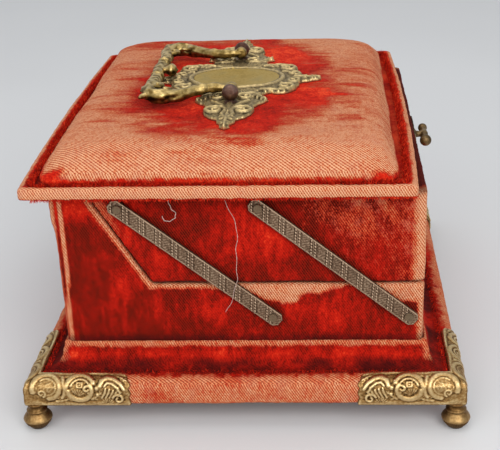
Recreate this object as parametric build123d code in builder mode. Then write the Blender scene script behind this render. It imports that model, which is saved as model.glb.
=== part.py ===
from build123d import *
import os
from math import cos, radians, sin

# Velvet-covered jewellery casket with a swing-out tray, in millimetres.
# X runs along the length, -Y is the front with the clasp, +Z is up, and Z = 0 is the table.

os.makedirs("parts", exist_ok=True)

# Driving dimensions of the case
body_length = 190.0
body_depth = 161.0
plinth_reach = 17.0
foot_height = 13.0
band_height = 12.0
ridge_z = 36.9
parting_z = 64.3
body_top_z = 108.6
board = 5.0
corner_round = 2.2

# Driving dimensions of the lid
lid_length = 212.0
lid_front_y = -75.5
lid_back_y = 91.5
lid_bow = 2.3
lid_bottom_z = 109.5
lid_thickness = 5.7
pad_rise = 13.8

# Driving dimensions of the swinging tray and its arms
tray_gap = 0.7
slant_foot_y = 40.0
slant_top_y = 66.5
arm_run = 65.1
arm_rise = 53.0
arm_width = 6.2
arm_thickness = 1.3
arm_stand_off = 1.2
pivot_z = 48.9
front_pivot_y = -73.4
rear_pivot_y = -13.2
pivot_pin_radius = 1.25

# Places worked out from them
half_length = body_length / 2
half_depth = body_depth / 2
plinth_half_length = half_length + plinth_reach
plinth_half_depth = half_depth + plinth_reach
floor_top_z = foot_height + 4.0
lid_top_z = lid_bottom_z + lid_thickness
pad_top_z = lid_top_z + pad_rise
lid_centre_y = (lid_front_y + lid_back_y) / 2
slant_lean = (slant_top_y - slant_foot_y) / (body_top_z - parting_z)
UP = Vector(0, 0, 1)


def finish(piece, name):
    """Label a finished piece and write it to its own file."""
    piece.part.label = name
    export_step(piece.part, f"parts/{name}.step")


def side_plane(outward, reach):
    """Plane across a side of the case: its x runs outward from the wall and its y runs up."""
    return Plane(origin=outward * reach, x_dir=outward, z_dir=outward.cross(UP))


# Sides of the case: outward direction, distance of the wall face, half length of the wall
sides = {
    "front": (Vector(0, -1, 0), half_depth, half_length),
    "back": (Vector(0, 1, 0), half_depth, half_length),
    "left": (Vector(-1, 0, 0), half_length, half_depth),
    "right": (Vector(1, 0, 0), half_length, half_depth),
}

# Turned ball feet, each with a stud that enters the plinth corner
foot_radius = 6.5
stud_radius = 1.2
stud_length = 7.0
foot_inset = 2.9
foot_x = plinth_half_length - foot_inset
foot_y = plinth_half_depth - foot_inset
foot_places = {
    "left_front": (-foot_x, -foot_y),
    "left_back": (-foot_x, foot_y),
    "right_front": (foot_x, -foot_y),
    "right_back": (foot_x, foot_y),
}
for place, (x, y) in foot_places.items():
    with BuildPart() as foot:
        with BuildSketch(Plane(origin=(x, y, 0), x_dir=(1, 0, 0), z_dir=(0, -1, 0))):
            with BuildLine():
                Polyline((0, foot_height + stud_length), (0, 0), (3.4, 0))
                ThreePointArc((3.4, 0), (foot_radius, 4.9), (4.4, 8.5))
                Line((4.4, 8.5), (4.5, 9.1))
                ThreePointArc((4.5, 9.1), (3.4, 10.6), (3.8, 12.0))
                Polyline(
                    (3.8, 12.0), (4.3, 12.3), (4.3, foot_height), (stud_radius, foot_height),
                    (stud_radius, foot_height + stud_length), (0, foot_height + stud_length),
                )
            make_face()
        revolve(axis=Axis((x, y, 0), (0, 0, 1)))
    finish(foot, f"foot_{place}")

# Plinth mouldings: a swelling band, a narrow ledge and a cove that climbs to a ridge
band_upright = 7.5
band_shoulder = 6.5
ledge_width = 3.6
ridge_reach = 1.6
band_top_z = foot_height + band_height
band_mid_z = foot_height + band_upright
swell = 1 - cos(radians(45))


def band_curve(offset):
    """Points of the band's rounded shoulder, grown outward by an offset."""
    reach = plinth_reach + offset
    drop = band_shoulder + offset
    rise = band_top_z + offset - band_mid_z
    return (
        (reach, band_mid_z),
        (reach - drop * swell, band_mid_z + rise * sin(radians(45))),
        (plinth_reach - band_shoulder, band_top_z + offset),
    )


for side, (outward, reach, half_run) in sides.items():
    along = outward.cross(UP)
    shoulder = band_curve(0)
    crease = (shoulder[2][0] - ledge_width, band_top_z)
    with BuildPart() as moulding:
        with BuildSketch(side_plane(outward, reach)):
            with BuildLine():
                Polyline((0, foot_height), (plinth_reach, foot_height), shoulder[0])
                Spline(*shoulder, tangents=((0, 1), (-1, 0)))
                Line(shoulder[2], crease)
                Spline(crease, (ridge_reach, ridge_z - 1.0), tangents=((-1, 0.35), (-0.12, 1)))
                Polyline((ridge_reach, ridge_z - 1.0), (0.6, ridge_z), (0, ridge_z), (0, foot_height))
            make_face()
        extrude(amount=half_run + plinth_reach, both=True)
        for way in (along, along * -1):
            mitre = Plane(origin=outward * reach + way * half_run, z_dir=way - outward)
            split(bisect_by=mitre, keep=Keep.BOTTOM)
        with Locations(*[(x, y, foot_height + stud_length / 2) for x, y in foot_places.values()]):
            Cylinder(stud_radius, stud_length, mode=Mode.SUBTRACT)
    finish(moulding, f"plinth_{side}")

# Stamped brass corner mounts, each bent round a corner of the band and over its shoulder
mount_leg = 46.6
mount_thickness = 0.9
mount_tip_round = 7.0


def mount_leg_part(outward, reach, half_run, way):
    """One leg of a corner mount, mitred at the corner and rounded at its inner top."""
    inner = band_curve(0)
    outer = band_curve(mount_thickness)
    tip = outward * reach + way * (half_run + plinth_reach - mount_leg)
    flat = outward.cross(UP)
    run = 1 if flat.dot(way) > 0 else -1
    face = Plane(origin=tip + outward * (plinth_reach + 3), x_dir=way, z_dir=way.cross(UP))
    with BuildPart() as leg:
        with BuildSketch(Plane(origin=tip, x_dir=outward, z_dir=flat)):
            with BuildLine():
                Line((plinth_reach, foot_height), inner[0])
                Spline(*inner, tangents=((0, 1), (-1, 0)))
                Line(inner[2], outer[2])
                Spline(*reversed(outer), tangents=((1, 0), (0, -1)))
                Polyline(outer[0], (plinth_reach + mount_thickness, foot_height), (plinth_reach, foot_height))
            make_face()
        extrude(amount=run * (mount_leg + mount_thickness))
        mitre = Plane(origin=outward * reach + way * half_run, z_dir=way - outward)
        split(bisect_by=mitre, keep=Keep.BOTTOM)
        with BuildSketch(face):
            with BuildLine():
                top = band_top_z + 1.6
                Polyline((0, top - mount_tip_round), (-2, top - mount_tip_round), (-2, top + 2))
                Polyline((-2, top + 2), (mount_tip_round, top + 2), (mount_tip_round, top))
                RadiusArc((mount_tip_round, top), (0, top - mount_tip_round), -mount_tip_round)
            make_face()
        extrude(amount=plinth_reach, both=True, mode=Mode.SUBTRACT)
    return leg.part


for x_name, x_way in (("left", Vector(-1, 0, 0)), ("right", Vector(1, 0, 0))):
    for y_name, y_way in (("front", Vector(0, -1, 0)), ("back", Vector(0, 1, 0))):
        long_leg = mount_leg_part(y_way, half_depth, half_length, x_way)
        short_leg = mount_leg_part(x_way, half_length, half_depth, y_way)
        with BuildPart() as corner_mount:
            add(long_leg)
            add(short_leg)
        finish(corner_mount, f"corner_mount_{x_name}_{y_name}")

# Case: floor, front and back walls, and end cheeks that rise behind the tray
with BuildPart() as base_floor:
    with BuildSketch(Plane.XY.offset(foot_height)):
        Rectangle(body_length, body_depth)
    extrude(amount=floor_top_z - foot_height)
finish(base_floor, "base_floor")

with BuildPart() as wall_front:
    with BuildSketch(Plane.XY.offset(floor_top_z)):
        with Locations((0, -half_depth + board / 2)):
            Rectangle(body_length - 2 * board, board)
    extrude(amount=parting_z - floor_top_z)
    fillet(wall_front.edges().group_by(Axis.Z)[-1].sort_by(Axis.Y)[0], radius=1.0)
finish(wall_front, "wall_front")

flare = 1.5
flare_foot_z = 86.0
flare_top_z = 97.0


def back_line():
    """Outer line of the back in the end view, which flares a little below the hinges."""
    Line((half_depth, floor_top_z), (half_depth, flare_foot_z))
    Spline((half_depth, flare_foot_z), (half_depth + flare, flare_top_z), tangents=((0, 1), (0, 1)))
    Line((half_depth + flare, flare_top_z), (half_depth + flare, body_top_z))


with BuildPart() as wall_back:
    with BuildSketch(Plane.YZ):
        with BuildLine():
            back_line()
            Polyline(
                (half_depth + flare, body_top_z), (half_depth - board, body_top_z),
                (half_depth - board, floor_top_z), (half_depth, floor_top_z),
            )
        make_face()
    extrude(amount=half_length - board, both=True)
finish(wall_back, "wall_back")

for side, x in (("left", -half_length), ("right", half_length - board)):
    with BuildPart() as cheek:
        with BuildSketch(Plane.YZ.offset(x)):
            with BuildLine():
                back_line()
                Polyline(
                    (half_depth + flare, body_top_z), (slant_top_y, body_top_z), (slant_foot_y, parting_z),
                    (-half_depth, parting_z), (-half_depth, floor_top_z), (half_depth, floor_top_z),
                )
            make_face()
        extrude(amount=board)
        outer_face = cheek.faces().sort_by(Axis.X)[0 if side == "left" else -1]
        fillet(outer_face.edges().sort_by(Axis.Y)[0], radius=corner_round)
        for y in (front_pivot_y, rear_pivot_y):
            bore = Plane(origin=(x + board / 2, y, pivot_z), z_dir=(1, 0, 0))
            with BuildSketch(bore):
                Circle(pivot_pin_radius)
            extrude(amount=board, both=True, mode=Mode.SUBTRACT)
    finish(cheek, f"cheek_{side}")

# Satin lining of the case: a thin open box that follows the cheeks
lining = 0.8
lining_half = half_length - board
lining_front = half_depth - board


lining_step_z = parting_z - 0.6
lining_top_z = body_top_z - 0.8
lining_step_y = slant_foot_y + 1.5 + (lining_step_z - parting_z) * slant_lean
lining_crest_y = lining_step_y + (lining_top_z - lining_step_z) * slant_lean

with BuildPart() as base_lining:
    with BuildSketch(Plane.YZ):
        with BuildLine():
            Polyline(
                (-lining_front, floor_top_z), (lining_front, floor_top_z), (lining_front, lining_top_z),
                (lining_crest_y, lining_top_z), (lining_step_y, lining_step_z), (-lining_front, lining_step_z),
                close=True,
            )
        make_face()
    extrude(amount=lining_half, both=True)
    with BuildSketch(Plane.YZ):
        with BuildLine():
            Polyline(
                (-lining_front + lining, floor_top_z + lining), (lining_front - lining, floor_top_z + lining),
                (lining_front - lining, body_top_z + 9), (-lining_front + lining, body_top_z + 9), close=True,
            )
        make_face()
    extrude(amount=lining_half - lining, both=True, mode=Mode.SUBTRACT)
finish(base_lining, "base_lining")

# Tray: end boards cut to the slant, front, slanted back, floor, divider, lining and ring cushion
tray_bottom_z = parting_z + tray_gap
tray_top_z = lid_bottom_z - 1.1
tray_wall = 4.5
tray_back_drop = 2.6
tray_crest_y = 44.0
tray_floor = 3.0
slant_length = ((slant_top_y - slant_foot_y) ** 2 + (body_top_z - parting_z) ** 2) ** 0.5
slant_cos = (body_top_z - parting_z) / slant_length
catch_z = 100.0
knob_shaft_radius = 1.5


def slant_y(z, inset):
    """Y of the tray's slanted back at a height, drawn in square to the slant by an inset."""
    return slant_foot_y + (z - parting_z) * slant_lean - (tray_gap + 0.1 + inset) / slant_cos


tray_back_top_z = tray_top_z - tray_back_drop

for side, x in (("left", -half_length), ("right", half_length - tray_wall)):
    with BuildPart() as tray_end:
        with BuildSketch(Plane.YZ.offset(x)):
            with BuildLine():
                Polyline(
                    (-half_depth, tray_bottom_z), (slant_y(tray_bottom_z, 0), tray_bottom_z),
                    (slant_y(tray_back_top_z, 0), tray_back_top_z), (tray_crest_y, tray_top_z),
                    (-half_depth, tray_top_z), close=True,
                )
            make_face()
        extrude(amount=tray_wall)
        outer_face = tray_end.faces().sort_by(Axis.X)[0 if side == "left" else -1]
        fillet(outer_face.edges().sort_by(Axis.Y)[0], radius=corner_round)
        for y in (front_pivot_y + arm_run, rear_pivot_y + arm_run):
            bore = Plane(origin=(x + tray_wall / 2, y, pivot_z + arm_rise), z_dir=(1, 0, 0))
            with BuildSketch(bore):
                Circle(pivot_pin_radius)
            extrude(amount=tray_wall, both=True, mode=Mode.SUBTRACT)
    finish(tray_end, f"tray_{side}")

tray_inside = half_length - tray_wall
tray_front_inner = -half_depth + tray_wall

with BuildPart() as tray_front:
    with BuildSketch(Plane.XY.offset(tray_bottom_z)):
        with Locations((0, -half_depth + tray_wall / 2)):
            Rectangle(2 * tray_inside, tray_wall)
    extrude(amount=tray_top_z - tray_bottom_z)
    fillet(tray_front.edges().group_by(Axis.Z)[-1].sort_by(Axis.Y)[0], radius=1.0)
    with BuildSketch(Plane(origin=(0, -half_depth, catch_z), z_dir=(0, -1, 0))):
        Circle(knob_shaft_radius + 0.08)
    extrude(amount=2 * board, both=True, mode=Mode.SUBTRACT)
finish(tray_front, "tray_front")

with BuildPart() as tray_back:
    with BuildSketch(Plane.YZ):
        with BuildLine():
            Polyline(
                (slant_y(tray_bottom_z, 0), tray_bottom_z), (slant_y(tray_back_top_z, 0), tray_back_top_z),
                (slant_y(tray_back_top_z, tray_wall), tray_back_top_z),
                (slant_y(tray_bottom_z, tray_wall), tray_bottom_z), close=True,
            )
        make_face()
    extrude(amount=tray_inside, both=True)
finish(tray_back, "tray_back")

with BuildPart() as tray_floor_board:
    with BuildSketch(Plane.YZ):
        with BuildLine():
            Polyline(
                (tray_front_inner, tray_bottom_z), (slant_y(tray_bottom_z, tray_wall), tray_bottom_z),
                (slant_y(tray_bottom_z + tray_floor, tray_wall), tray_bottom_z + tray_floor),
                (tray_front_inner, tray_bottom_z + tray_floor), close=True,
            )
        make_face()
    extrude(amount=tray_inside, both=True)
finish(tray_floor_board, "tray_floor")

tray_floor_z = tray_bottom_z + tray_floor
tray_lining_top_z = tray_back_top_z - 0.6

with BuildPart() as tray_lining:
    with BuildSketch(Plane.YZ):
        with BuildLine():
            Polyline(
                (tray_front_inner, tray_floor_z), (slant_y(tray_floor_z, tray_wall), tray_floor_z),
                (slant_y(tray_lining_top_z, tray_wall), tray_lining_top_z),
                (tray_front_inner, tray_lining_top_z), close=True,
            )
        make_face()
    extrude(amount=tray_inside, both=True)
    with BuildSketch(Plane.YZ):
        with BuildLine():
            inner_floor_z = tray_floor_z + lining
            inner_y = tray_front_inner + lining
            Polyline(
                (inner_y, inner_floor_z), (slant_y(inner_floor_z, tray_wall + lining), inner_floor_z),
                (slant_y(body_top_z, tray_wall + lining), body_top_z), (inner_y, body_top_z), close=True,
            )
        make_face()
    extrude(amount=tray_inside - lining, both=True, mode=Mode.SUBTRACT)
    with BuildSketch(Plane(origin=(0, tray_front_inner, catch_z), z_dir=(0, 1, 0))):
        Circle(knob_shaft_radius + 0.3)
    extrude(amount=lining, both=True, mode=Mode.SUBTRACT)
finish(tray_lining, "tray_lining")

divider_y = -20.0
divider_thickness = 2.4
divider_height = 24.0
tray_clear = tray_inside - lining
soft_floor_z = tray_floor_z + lining

with BuildPart() as tray_divider:
    with BuildSketch(Plane.YZ):
        with Locations((divider_y, soft_floor_z + divider_height / 2)):
            RectangleRounded(divider_thickness, divider_height, 1.0)
        with Locations((divider_y, soft_floor_z + 2)):
            Rectangle(divider_thickness, 4)
    extrude(amount=tray_clear, both=True)
finish(tray_divider, "tray_divider")

# Ring cushion: rolls of satin that lie side by side in the front of the tray
roll_count = 6
roll_low = soft_floor_z
roll_radius = (divider_y - divider_thickness / 2 - tray_front_inner - lining - 0.6) / (2 * roll_count)
roll_bed = 4.0
with BuildPart() as ring_cushion:
    cushion_front = tray_front_inner + lining + 0.3
    cushion_width = 2 * roll_radius * roll_count
    with BuildSketch(Plane.YZ):
        with BuildLine():
            corner = (cushion_front, roll_low)
            Polyline((cushion_front, roll_low + roll_bed), corner, (cushion_front + cushion_width, roll_low))
            Line((cushion_front + cushion_width, roll_low), (cushion_front + cushion_width, roll_low + roll_bed))
            for number in range(roll_count):
                start = cushion_front + 2 * roll_radius * number
                ThreePointArc(
                    (start, roll_low + roll_bed), (start + roll_radius, roll_low + roll_bed + 0.95 * roll_radius),
                    (start + 2 * roll_radius, roll_low + roll_bed),
                )
        make_face()
    extrude(amount=tray_clear - 1.0, both=True)
finish(ring_cushion, "ring_cushion")

# Lid: a bowed board with a sunk bed, the stuffed pad in it and a padded lining beneath
bed_depth = 2.0
bed_margin = 3.6
lid_corner = 1.9
bed_corner = 2.4
pad_half_length = lid_length / 2 - 4.6
pad_half_depth = (lid_back_y - lid_front_y) / 2 - 6.7


def bowed_outline(inset):
    """Plan of the lid with bowed front and back edges, drawn in by an inset."""
    end = lid_length / 2 - inset
    front = lid_front_y + inset
    back = lid_back_y - inset
    Line((-end, front), (-end, back))
    ThreePointArc((-end, back), (0, back + lid_bow), (end, back))
    Line((end, back), (end, front))
    ThreePointArc((end, front), (0, front - lid_bow), (-end, front))


with BuildPart() as lid_board:
    with BuildSketch(Plane.XY.offset(lid_bottom_z)) as lid_plan:
        with BuildLine():
            bowed_outline(0)
        make_face()
        fillet(lid_plan.vertices(), radius=lid_corner)
    extrude(amount=lid_thickness)
    fillet(lid_board.edges().group_by(Axis.Z)[-1], radius=1.6)
    fillet(lid_board.edges().group_by(Axis.Z)[0], radius=1.0)
    with BuildSketch(Plane.XY.offset(lid_top_z)) as bed_plan:
        with BuildLine():
            bowed_outline(bed_margin)
        make_face()
        fillet(bed_plan.vertices(), radius=bed_corner)
    extrude(amount=-bed_depth, mode=Mode.SUBTRACT)
finish(lid_board, "lid_board")

# Sections of the pad: height above the bed, how far its ends and its long sides are drawn in, corner radius
pad_sections = (
    (0.0, 2.4, 1.5, 6.0), (2.2, 0.0, 0.0, 8.0), (5.2, 1.6, 1.2, 10.0), (9.0, 6.0, 3.8, 13.0),
    (12.6, 11.0, 5.8, 17.0), (14.6, 15.0, 9.2, 20.0), (pad_rise + bed_depth, 20.0, 14.5, 26.0),
)
with BuildPart() as lid_pad:
    for height, end_in, side_in, corner in pad_sections:
        with BuildSketch(Plane((0, lid_centre_y, lid_top_z - bed_depth + height))):
            RectangleRounded(2 * (pad_half_length - end_in), 2 * (pad_half_depth - side_in), corner)
    loft(ruled=True)
finish(lid_pad, "lid_pad")

panel_length = 168.0
panel_front_y = -68.0
panel_back_y = 44.0
panel_thickness = 1.9
panel_bulge = 0.9
panel_sections = ((panel_thickness, 4.0, 6.0), (panel_bulge, 0.0, 8.0), (0.0, 2.0, 7.0))
with BuildPart() as lid_lining:
    for drop, drawn_in, corner in panel_sections:
        with BuildSketch(Plane((0, (panel_front_y + panel_back_y) / 2, lid_bottom_z - drop))):
            RectangleRounded(panel_length - drawn_in, panel_back_y - panel_front_y - drawn_in, corner)
    loft(ruled=True)
finish(lid_lining, "lid_lining")

# Butt hinges at the back: a case leaf with two knuckles, a lid leaf with one, and a pin
hinge_x = 55.0
hinge_y = half_depth + flare + 1.6
hinge_z = lid_bottom_z - 1.8
knuckle_radius = 1.5
hinge_bore = 0.78
hinge_pin_radius = 0.72
leaf_thickness = 0.8
middle_knuckle = 10.0
outer_knuckle = 6.5
knuckle_gap = 0.25
leaf_half = middle_knuckle / 2 + knuckle_gap + outer_knuckle

for side, x in (("left", -hinge_x), ("right", hinge_x)):
    knuckle_face = Plane(origin=(x, hinge_y, hinge_z), x_dir=(0, 1, 0), z_dir=(1, 0, 0))
    outer_start = middle_knuckle / 2 + knuckle_gap
    with BuildPart() as case_leaf:
        with BuildSketch(Plane(origin=(x, half_depth + flare, 0), x_dir=(-1, 0, 0), z_dir=(0, 1, 0))):
            with Locations((0, hinge_z - 6)):
                Rectangle(2 * leaf_half, 10)
            for way in (-1, 1):
                with Locations((way * (outer_start + outer_knuckle / 2), hinge_z - 0.6)):
                    Rectangle(outer_knuckle, 1.2)
        extrude(amount=leaf_thickness)
        for start in (outer_start, -outer_start - outer_knuckle):
            with BuildSketch(knuckle_face.offset(start)):
                Circle(knuckle_radius)
            extrude(amount=outer_knuckle)
        with BuildSketch(knuckle_face):
            Circle(hinge_bore)
        extrude(amount=2 * leaf_half, both=True, mode=Mode.SUBTRACT)
        with BuildSketch(Plane(origin=(x, half_depth, hinge_z - 1.2), x_dir=(1, 0, 0), z_dir=(0, -1, 0))):
            Rectangle(middle_knuckle + 2 * knuckle_gap, 1.8)
        extrude(amount=-8, mode=Mode.SUBTRACT)
    finish(case_leaf, f"hinge_case_leaf_{side}")

    with BuildPart() as lid_leaf:
        with BuildSketch(Plane((x, hinge_y, lid_bottom_z - leaf_thickness))):
            with Locations((0, 4.3)):
                Rectangle(2 * leaf_half, 5.4)
            with Locations((0, 1.2)):
                Rectangle(middle_knuckle, 2.4)
        extrude(amount=leaf_thickness)
        with BuildSketch(knuckle_face):
            Circle(knuckle_radius)
        extrude(amount=middle_knuckle / 2, both=True)
        with BuildSketch(knuckle_face):
            Circle(hinge_bore)
        extrude(amount=2 * leaf_half, both=True, mode=Mode.SUBTRACT)
    finish(lid_leaf, f"hinge_lid_leaf_{side}")

    with BuildPart() as hinge_pin:
        with BuildSketch(knuckle_face):
            Circle(hinge_pin_radius)
        extrude(amount=leaf_half, both=True)
        for start in (leaf_half, -leaf_half - 0.7):
            with BuildSketch(knuckle_face.offset(start)):
                Circle(1.2)
            extrude(amount=0.7)
    finish(hinge_pin, f"hinge_pin_{side}")

# Four flat arms, two at each end, that carry the tray up and forward, with their rivets
arm_length = (arm_run ** 2 + arm_rise ** 2) ** 0.5
arm_end = 4.2
arm_clip = 1.9
arm_bore = pivot_pin_radius + 0.06
rivet_head_radius = 2.0
rivet_head = 0.5
arm_along = Vector(0, arm_run, arm_rise) / arm_length

for side, way in (("left", -1), ("right", 1)):
    inner_x = way * (half_length + arm_stand_off)
    outer_x = inner_x + way * arm_thickness
    for place, pivot_y in (("front", front_pivot_y), ("rear", rear_pivot_y)):
        low_pivot = Vector(0, pivot_y, pivot_z)
        high_pivot = low_pivot + arm_along * arm_length
        middle = (low_pivot + high_pivot) * 0.5 + Vector(inner_x, 0, 0)
        flat = Plane(origin=middle, x_dir=arm_along, z_dir=(way, 0, 0))
        with BuildPart() as arm:
            with BuildSketch(flat) as strip:
                Rectangle(arm_length + 2 * arm_end, arm_width)
                chamfer(strip.vertices(), length=arm_clip)
                with Locations((-arm_length / 2, 0), (arm_length / 2, 0)):
                    Circle(arm_bore, mode=Mode.SUBTRACT)
            extrude(amount=arm_thickness)
        finish(arm, f"arm_{side}_{place}")

        for end, pivot in (("case", low_pivot), ("tray", high_pivot)):
            seat = Plane(origin=pivot + Vector(way * half_length, 0, 0), z_dir=(way, 0, 0))
            depth = board if end == "case" else tray_wall
            with BuildPart() as rivet:
                with BuildSketch(seat.offset(-depth + 0.4)):
                    Circle(pivot_pin_radius)
                extrude(amount=depth - 0.4 + arm_stand_off + arm_thickness + 0.15)
                with BuildSketch(seat):
                    Circle(rivet_head_radius)
                extrude(amount=arm_stand_off - 0.1)
                with BuildSketch(seat.offset(arm_stand_off + arm_thickness + 0.15)):
                    Circle(rivet_head_radius)
                extrude(amount=rivet_head, taper=25)
            finish(rivet, f"rivet_{end}_{side}_{place}")

# Escutcheon on the pad: a leafy cartouche, longer along the lid, with a raised oval plaque
escutcheon_y = 6.8
escutcheon_half_length = 75.0
escutcheon_half_depth = 42.9
escutcheon_thickness = 1.4
plaque_half_length = 15.5
plaque_half_depth = 21.4
plaque_rise = 0.7

with BuildPart() as escutcheon:
    with BuildSketch(Plane((0, escutcheon_y, pad_top_z))):
        with BuildLine():
            Polyline((escutcheon_half_length, 0), (69, 2.6), (62.5, 4.8))
            ThreePointArc((62.5, 4.8), (54.5, 10.8), (43.5, 11.6))
            Line((43.5, 11.6), (34.5, 17.8))
            ThreePointArc((34.5, 17.8), (29, 14.6), (22.5, 17.0))
            ThreePointArc((22.5, 17.0), (22.6, 25.5), (16.5, 30.2))
            ThreePointArc((16.5, 30.2), (10.5, 31.6), (5.0, 32.2))
            Polyline((5.0, 32.2), (3.0, 37.0), (0, escutcheon_half_depth))
            mirror(about=Plane.YZ)
            mirror(about=Plane.XZ)
        make_face()
    extrude(amount=escutcheon_thickness)
    with BuildSketch(Plane((0, escutcheon_y, pad_top_z + escutcheon_thickness))):
        Ellipse(plaque_half_length, plaque_half_depth)
    extrude(amount=plaque_rise, taper=30)
finish(escutcheon, "escutcheon")

# Bail handle, hung between two ball-headed posts, lying back at rest
bail_x = 38.0
bail_z = 134.8
bail_thickness = 5.3
post_ball_radius = 3.9
post_foot_radius = 3.4
post_neck_radius = 2.2
bail_pin_radius = 1.1
bail_pin_past = 2.0
post_base_z = pad_top_z + escutcheon_thickness

for side, way in (("left", -1), ("right", 1)):
    with BuildPart() as post:
        with BuildSketch(Plane((way * bail_x, escutcheon_y, post_base_z))):
            Circle(post_foot_radius)
        with BuildSketch(Plane((way * bail_x, escutcheon_y, post_base_z + 2.0))):
            Circle(post_neck_radius)
        loft()
        with Locations((way * bail_x, escutcheon_y, bail_z)):
            Sphere(post_ball_radius)
        bore_end = way * (bail_x + bail_pin_past + 0.2)
        with BuildSketch(Plane(origin=(bore_end, escutcheon_y, bail_z), z_dir=(-way, 0, 0))):
            Circle(bail_pin_radius + 0.06)
        extrude(amount=2 * post_ball_radius, mode=Mode.SUBTRACT)
    finish(post, f"bail_post_{side}")

# The bar of the bail: plan points from its middle, out round the corner and in to the eye
bail_gap = 0.35
bail_radius = bail_thickness / 2
eye_face = bail_x - post_ball_radius - bail_gap
eye_length = 4.6
eye_radius = 3.3
bail_plane = Plane((0, escutcheon_y, bail_z))
bail_points = (
    (0, 38.6), (20.0, 37.6), (33.5, 38.8), (41.3, 32.5), (38.0, 23.5), (31.5, 15.5), (29.6, 8.0), (30.8, 2.0),
)
spur_root = (38.9, 36.2)
spur_tip = (44.6, 41.0)
knot_x = 11.5
with BuildPart() as bail:
    with BuildLine(bail_plane) as bar:
        for way in (-1, 1):
            heading = Vector(way, 0)
            for start, end in zip(bail_points, bail_points[1:]):
                stretch = TangentArc((way * start[0], start[1]), (way * end[0], end[1]), tangent=heading)
                heading = stretch % 1
    bar_line = bar.wires()[0]
    with BuildSketch(Plane(origin=bar_line @ 0, z_dir=bar_line % 0)):
        Circle(bail_radius)
    sweep(path=bar_line)
    for way in (-1, 1):
        eye_plane = Plane(origin=(way * eye_face, escutcheon_y, bail_z), z_dir=(way, 0, 0))
        with BuildSketch(eye_plane):
            Circle(eye_radius)
        extrude(amount=-eye_length)
        with BuildSketch(eye_plane):
            Circle(bail_pin_radius)
        extrude(amount=bail_gap + post_ball_radius + bail_pin_past)
        knot = bail_plane.from_local_coords((way * knot_x, bail_points[0][1] - 0.5, 0))
        with BuildSketch(Plane(origin=knot, z_dir=(1, 0, 0))):
            Circle(bail_radius + 1.0)
        extrude(amount=2.0, both=True, taper=14)
        root = bail_plane.from_local_coords((way * spur_root[0], spur_root[1], 0))
        spur_end = bail_plane.from_local_coords((way * spur_tip[0], spur_tip[1], 0))
        with BuildSketch(Plane(origin=root, z_dir=spur_end - root)):
            Circle(bail_radius - 0.25)
        extrude(amount=(spur_end - root).length, taper=10)
    bar_middle = bail_plane.from_local_coords((0, bail_points[0][1], 0))
    with BuildSketch(Plane(origin=bar_middle, z_dir=(1, 0, 0))):
        Circle(bail_radius + 1.3)
    extrude(amount=3.0, both=True, taper=12)
    with BuildSketch(Plane(origin=bar_middle, z_dir=(0, -1, 0))):
        Circle(bail_radius - 0.3)
    extrude(amount=6.6, taper=8)
finish(bail, "bail_handle")

# Clasp: a shaped plate on the tray front, a turning knob with its crescent, and the lid's staple
plate_thickness = 0.8
plate_half = 47.0
with BuildPart() as clasp_plate:
    with BuildSketch(Plane(origin=(0, -half_depth, 0), x_dir=(1, 0, 0), z_dir=(0, -1, 0))):
        with BuildLine():
            Polyline((plate_half, catch_z), (38, catch_z + 2.2), (30, catch_z + 5.6))
            ThreePointArc((30, catch_z + 5.6), (22, catch_z + 3.2), (13, catch_z + 5.0))
            ThreePointArc((13, catch_z + 5.0), (6.5, catch_z + 7.4), (0, catch_z + 7.6))
            mirror(about=Plane.YZ)
        with BuildLine():
            Polyline((plate_half, catch_z), (38, catch_z - 2.2), (30, catch_z - 6.0))
            ThreePointArc((30, catch_z - 6.0), (22, catch_z - 4.2), (13, catch_z - 7.5))
            ThreePointArc((13, catch_z - 7.5), (6.5, catch_z - 11), (0, catch_z - 12.5))
            mirror(about=Plane.YZ)
        make_face()
        with Locations((0, catch_z)):
            Circle(knob_shaft_radius + 0.08, mode=Mode.SUBTRACT)
    extrude(amount=plate_thickness)
finish(clasp_plate, "clasp_plate")

knob_arm = 9.4
knob_reach = 5.4
knob_bar_radius = 1.3
knob_ball_radius = 2.9
knob_bead_radius = 2.3
knob_stem_radius = 1.7
knob_rose_radius = 3.2
crescent_y = -72.9
crescent_thickness = 1.4
ring_inner = 5.5
ring_outer = 7.5
with BuildPart() as clasp_knob:
    front_face = -half_depth - plate_thickness - 0.15
    stem_face = Plane(origin=(0, front_face, catch_z), z_dir=(0, -1, 0))
    bar_axis = Plane(origin=(0, front_face - knob_reach, catch_z), x_dir=(1, 0, 0), z_dir=(0, -1, 0))
    ball_neck = -knob_arm + (knob_ball_radius ** 2 - knob_bar_radius ** 2) ** 0.5
    bead_neck = knob_arm - (knob_bead_radius ** 2 - knob_bar_radius ** 2) ** 0.5
    with BuildSketch(bar_axis):
        with BuildLine():
            Line((knob_arm + knob_bead_radius, 0), (-knob_arm - knob_ball_radius, 0))
            ThreePointArc(
                (-knob_arm - knob_ball_radius, 0), (-knob_arm, knob_ball_radius), (ball_neck, knob_bar_radius),
            )
            Line((ball_neck, knob_bar_radius), (bead_neck, knob_bar_radius))
            ThreePointArc(
                (bead_neck, knob_bar_radius), (knob_arm, knob_bead_radius), (knob_arm + knob_bead_radius, 0),
            )
        make_face()
    revolve(axis=Axis((0, front_face - knob_reach, catch_z), (1, 0, 0)))
    with BuildSketch(stem_face):
        Circle(knob_rose_radius)
    extrude(amount=1.2, taper=20)
    with BuildSketch(stem_face):
        Circle(knob_stem_radius)
    extrude(amount=knob_reach)
    with BuildSketch(stem_face):
        Circle(knob_shaft_radius)
    extrude(amount=-(crescent_y - front_face))
finish(clasp_knob, "clasp_knob")


def ring_point(radius, angle):
    """Point on a circle round the catch centre in the front view."""
    return (radius * cos(radians(angle)), catch_z + radius * sin(radians(angle)))


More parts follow.
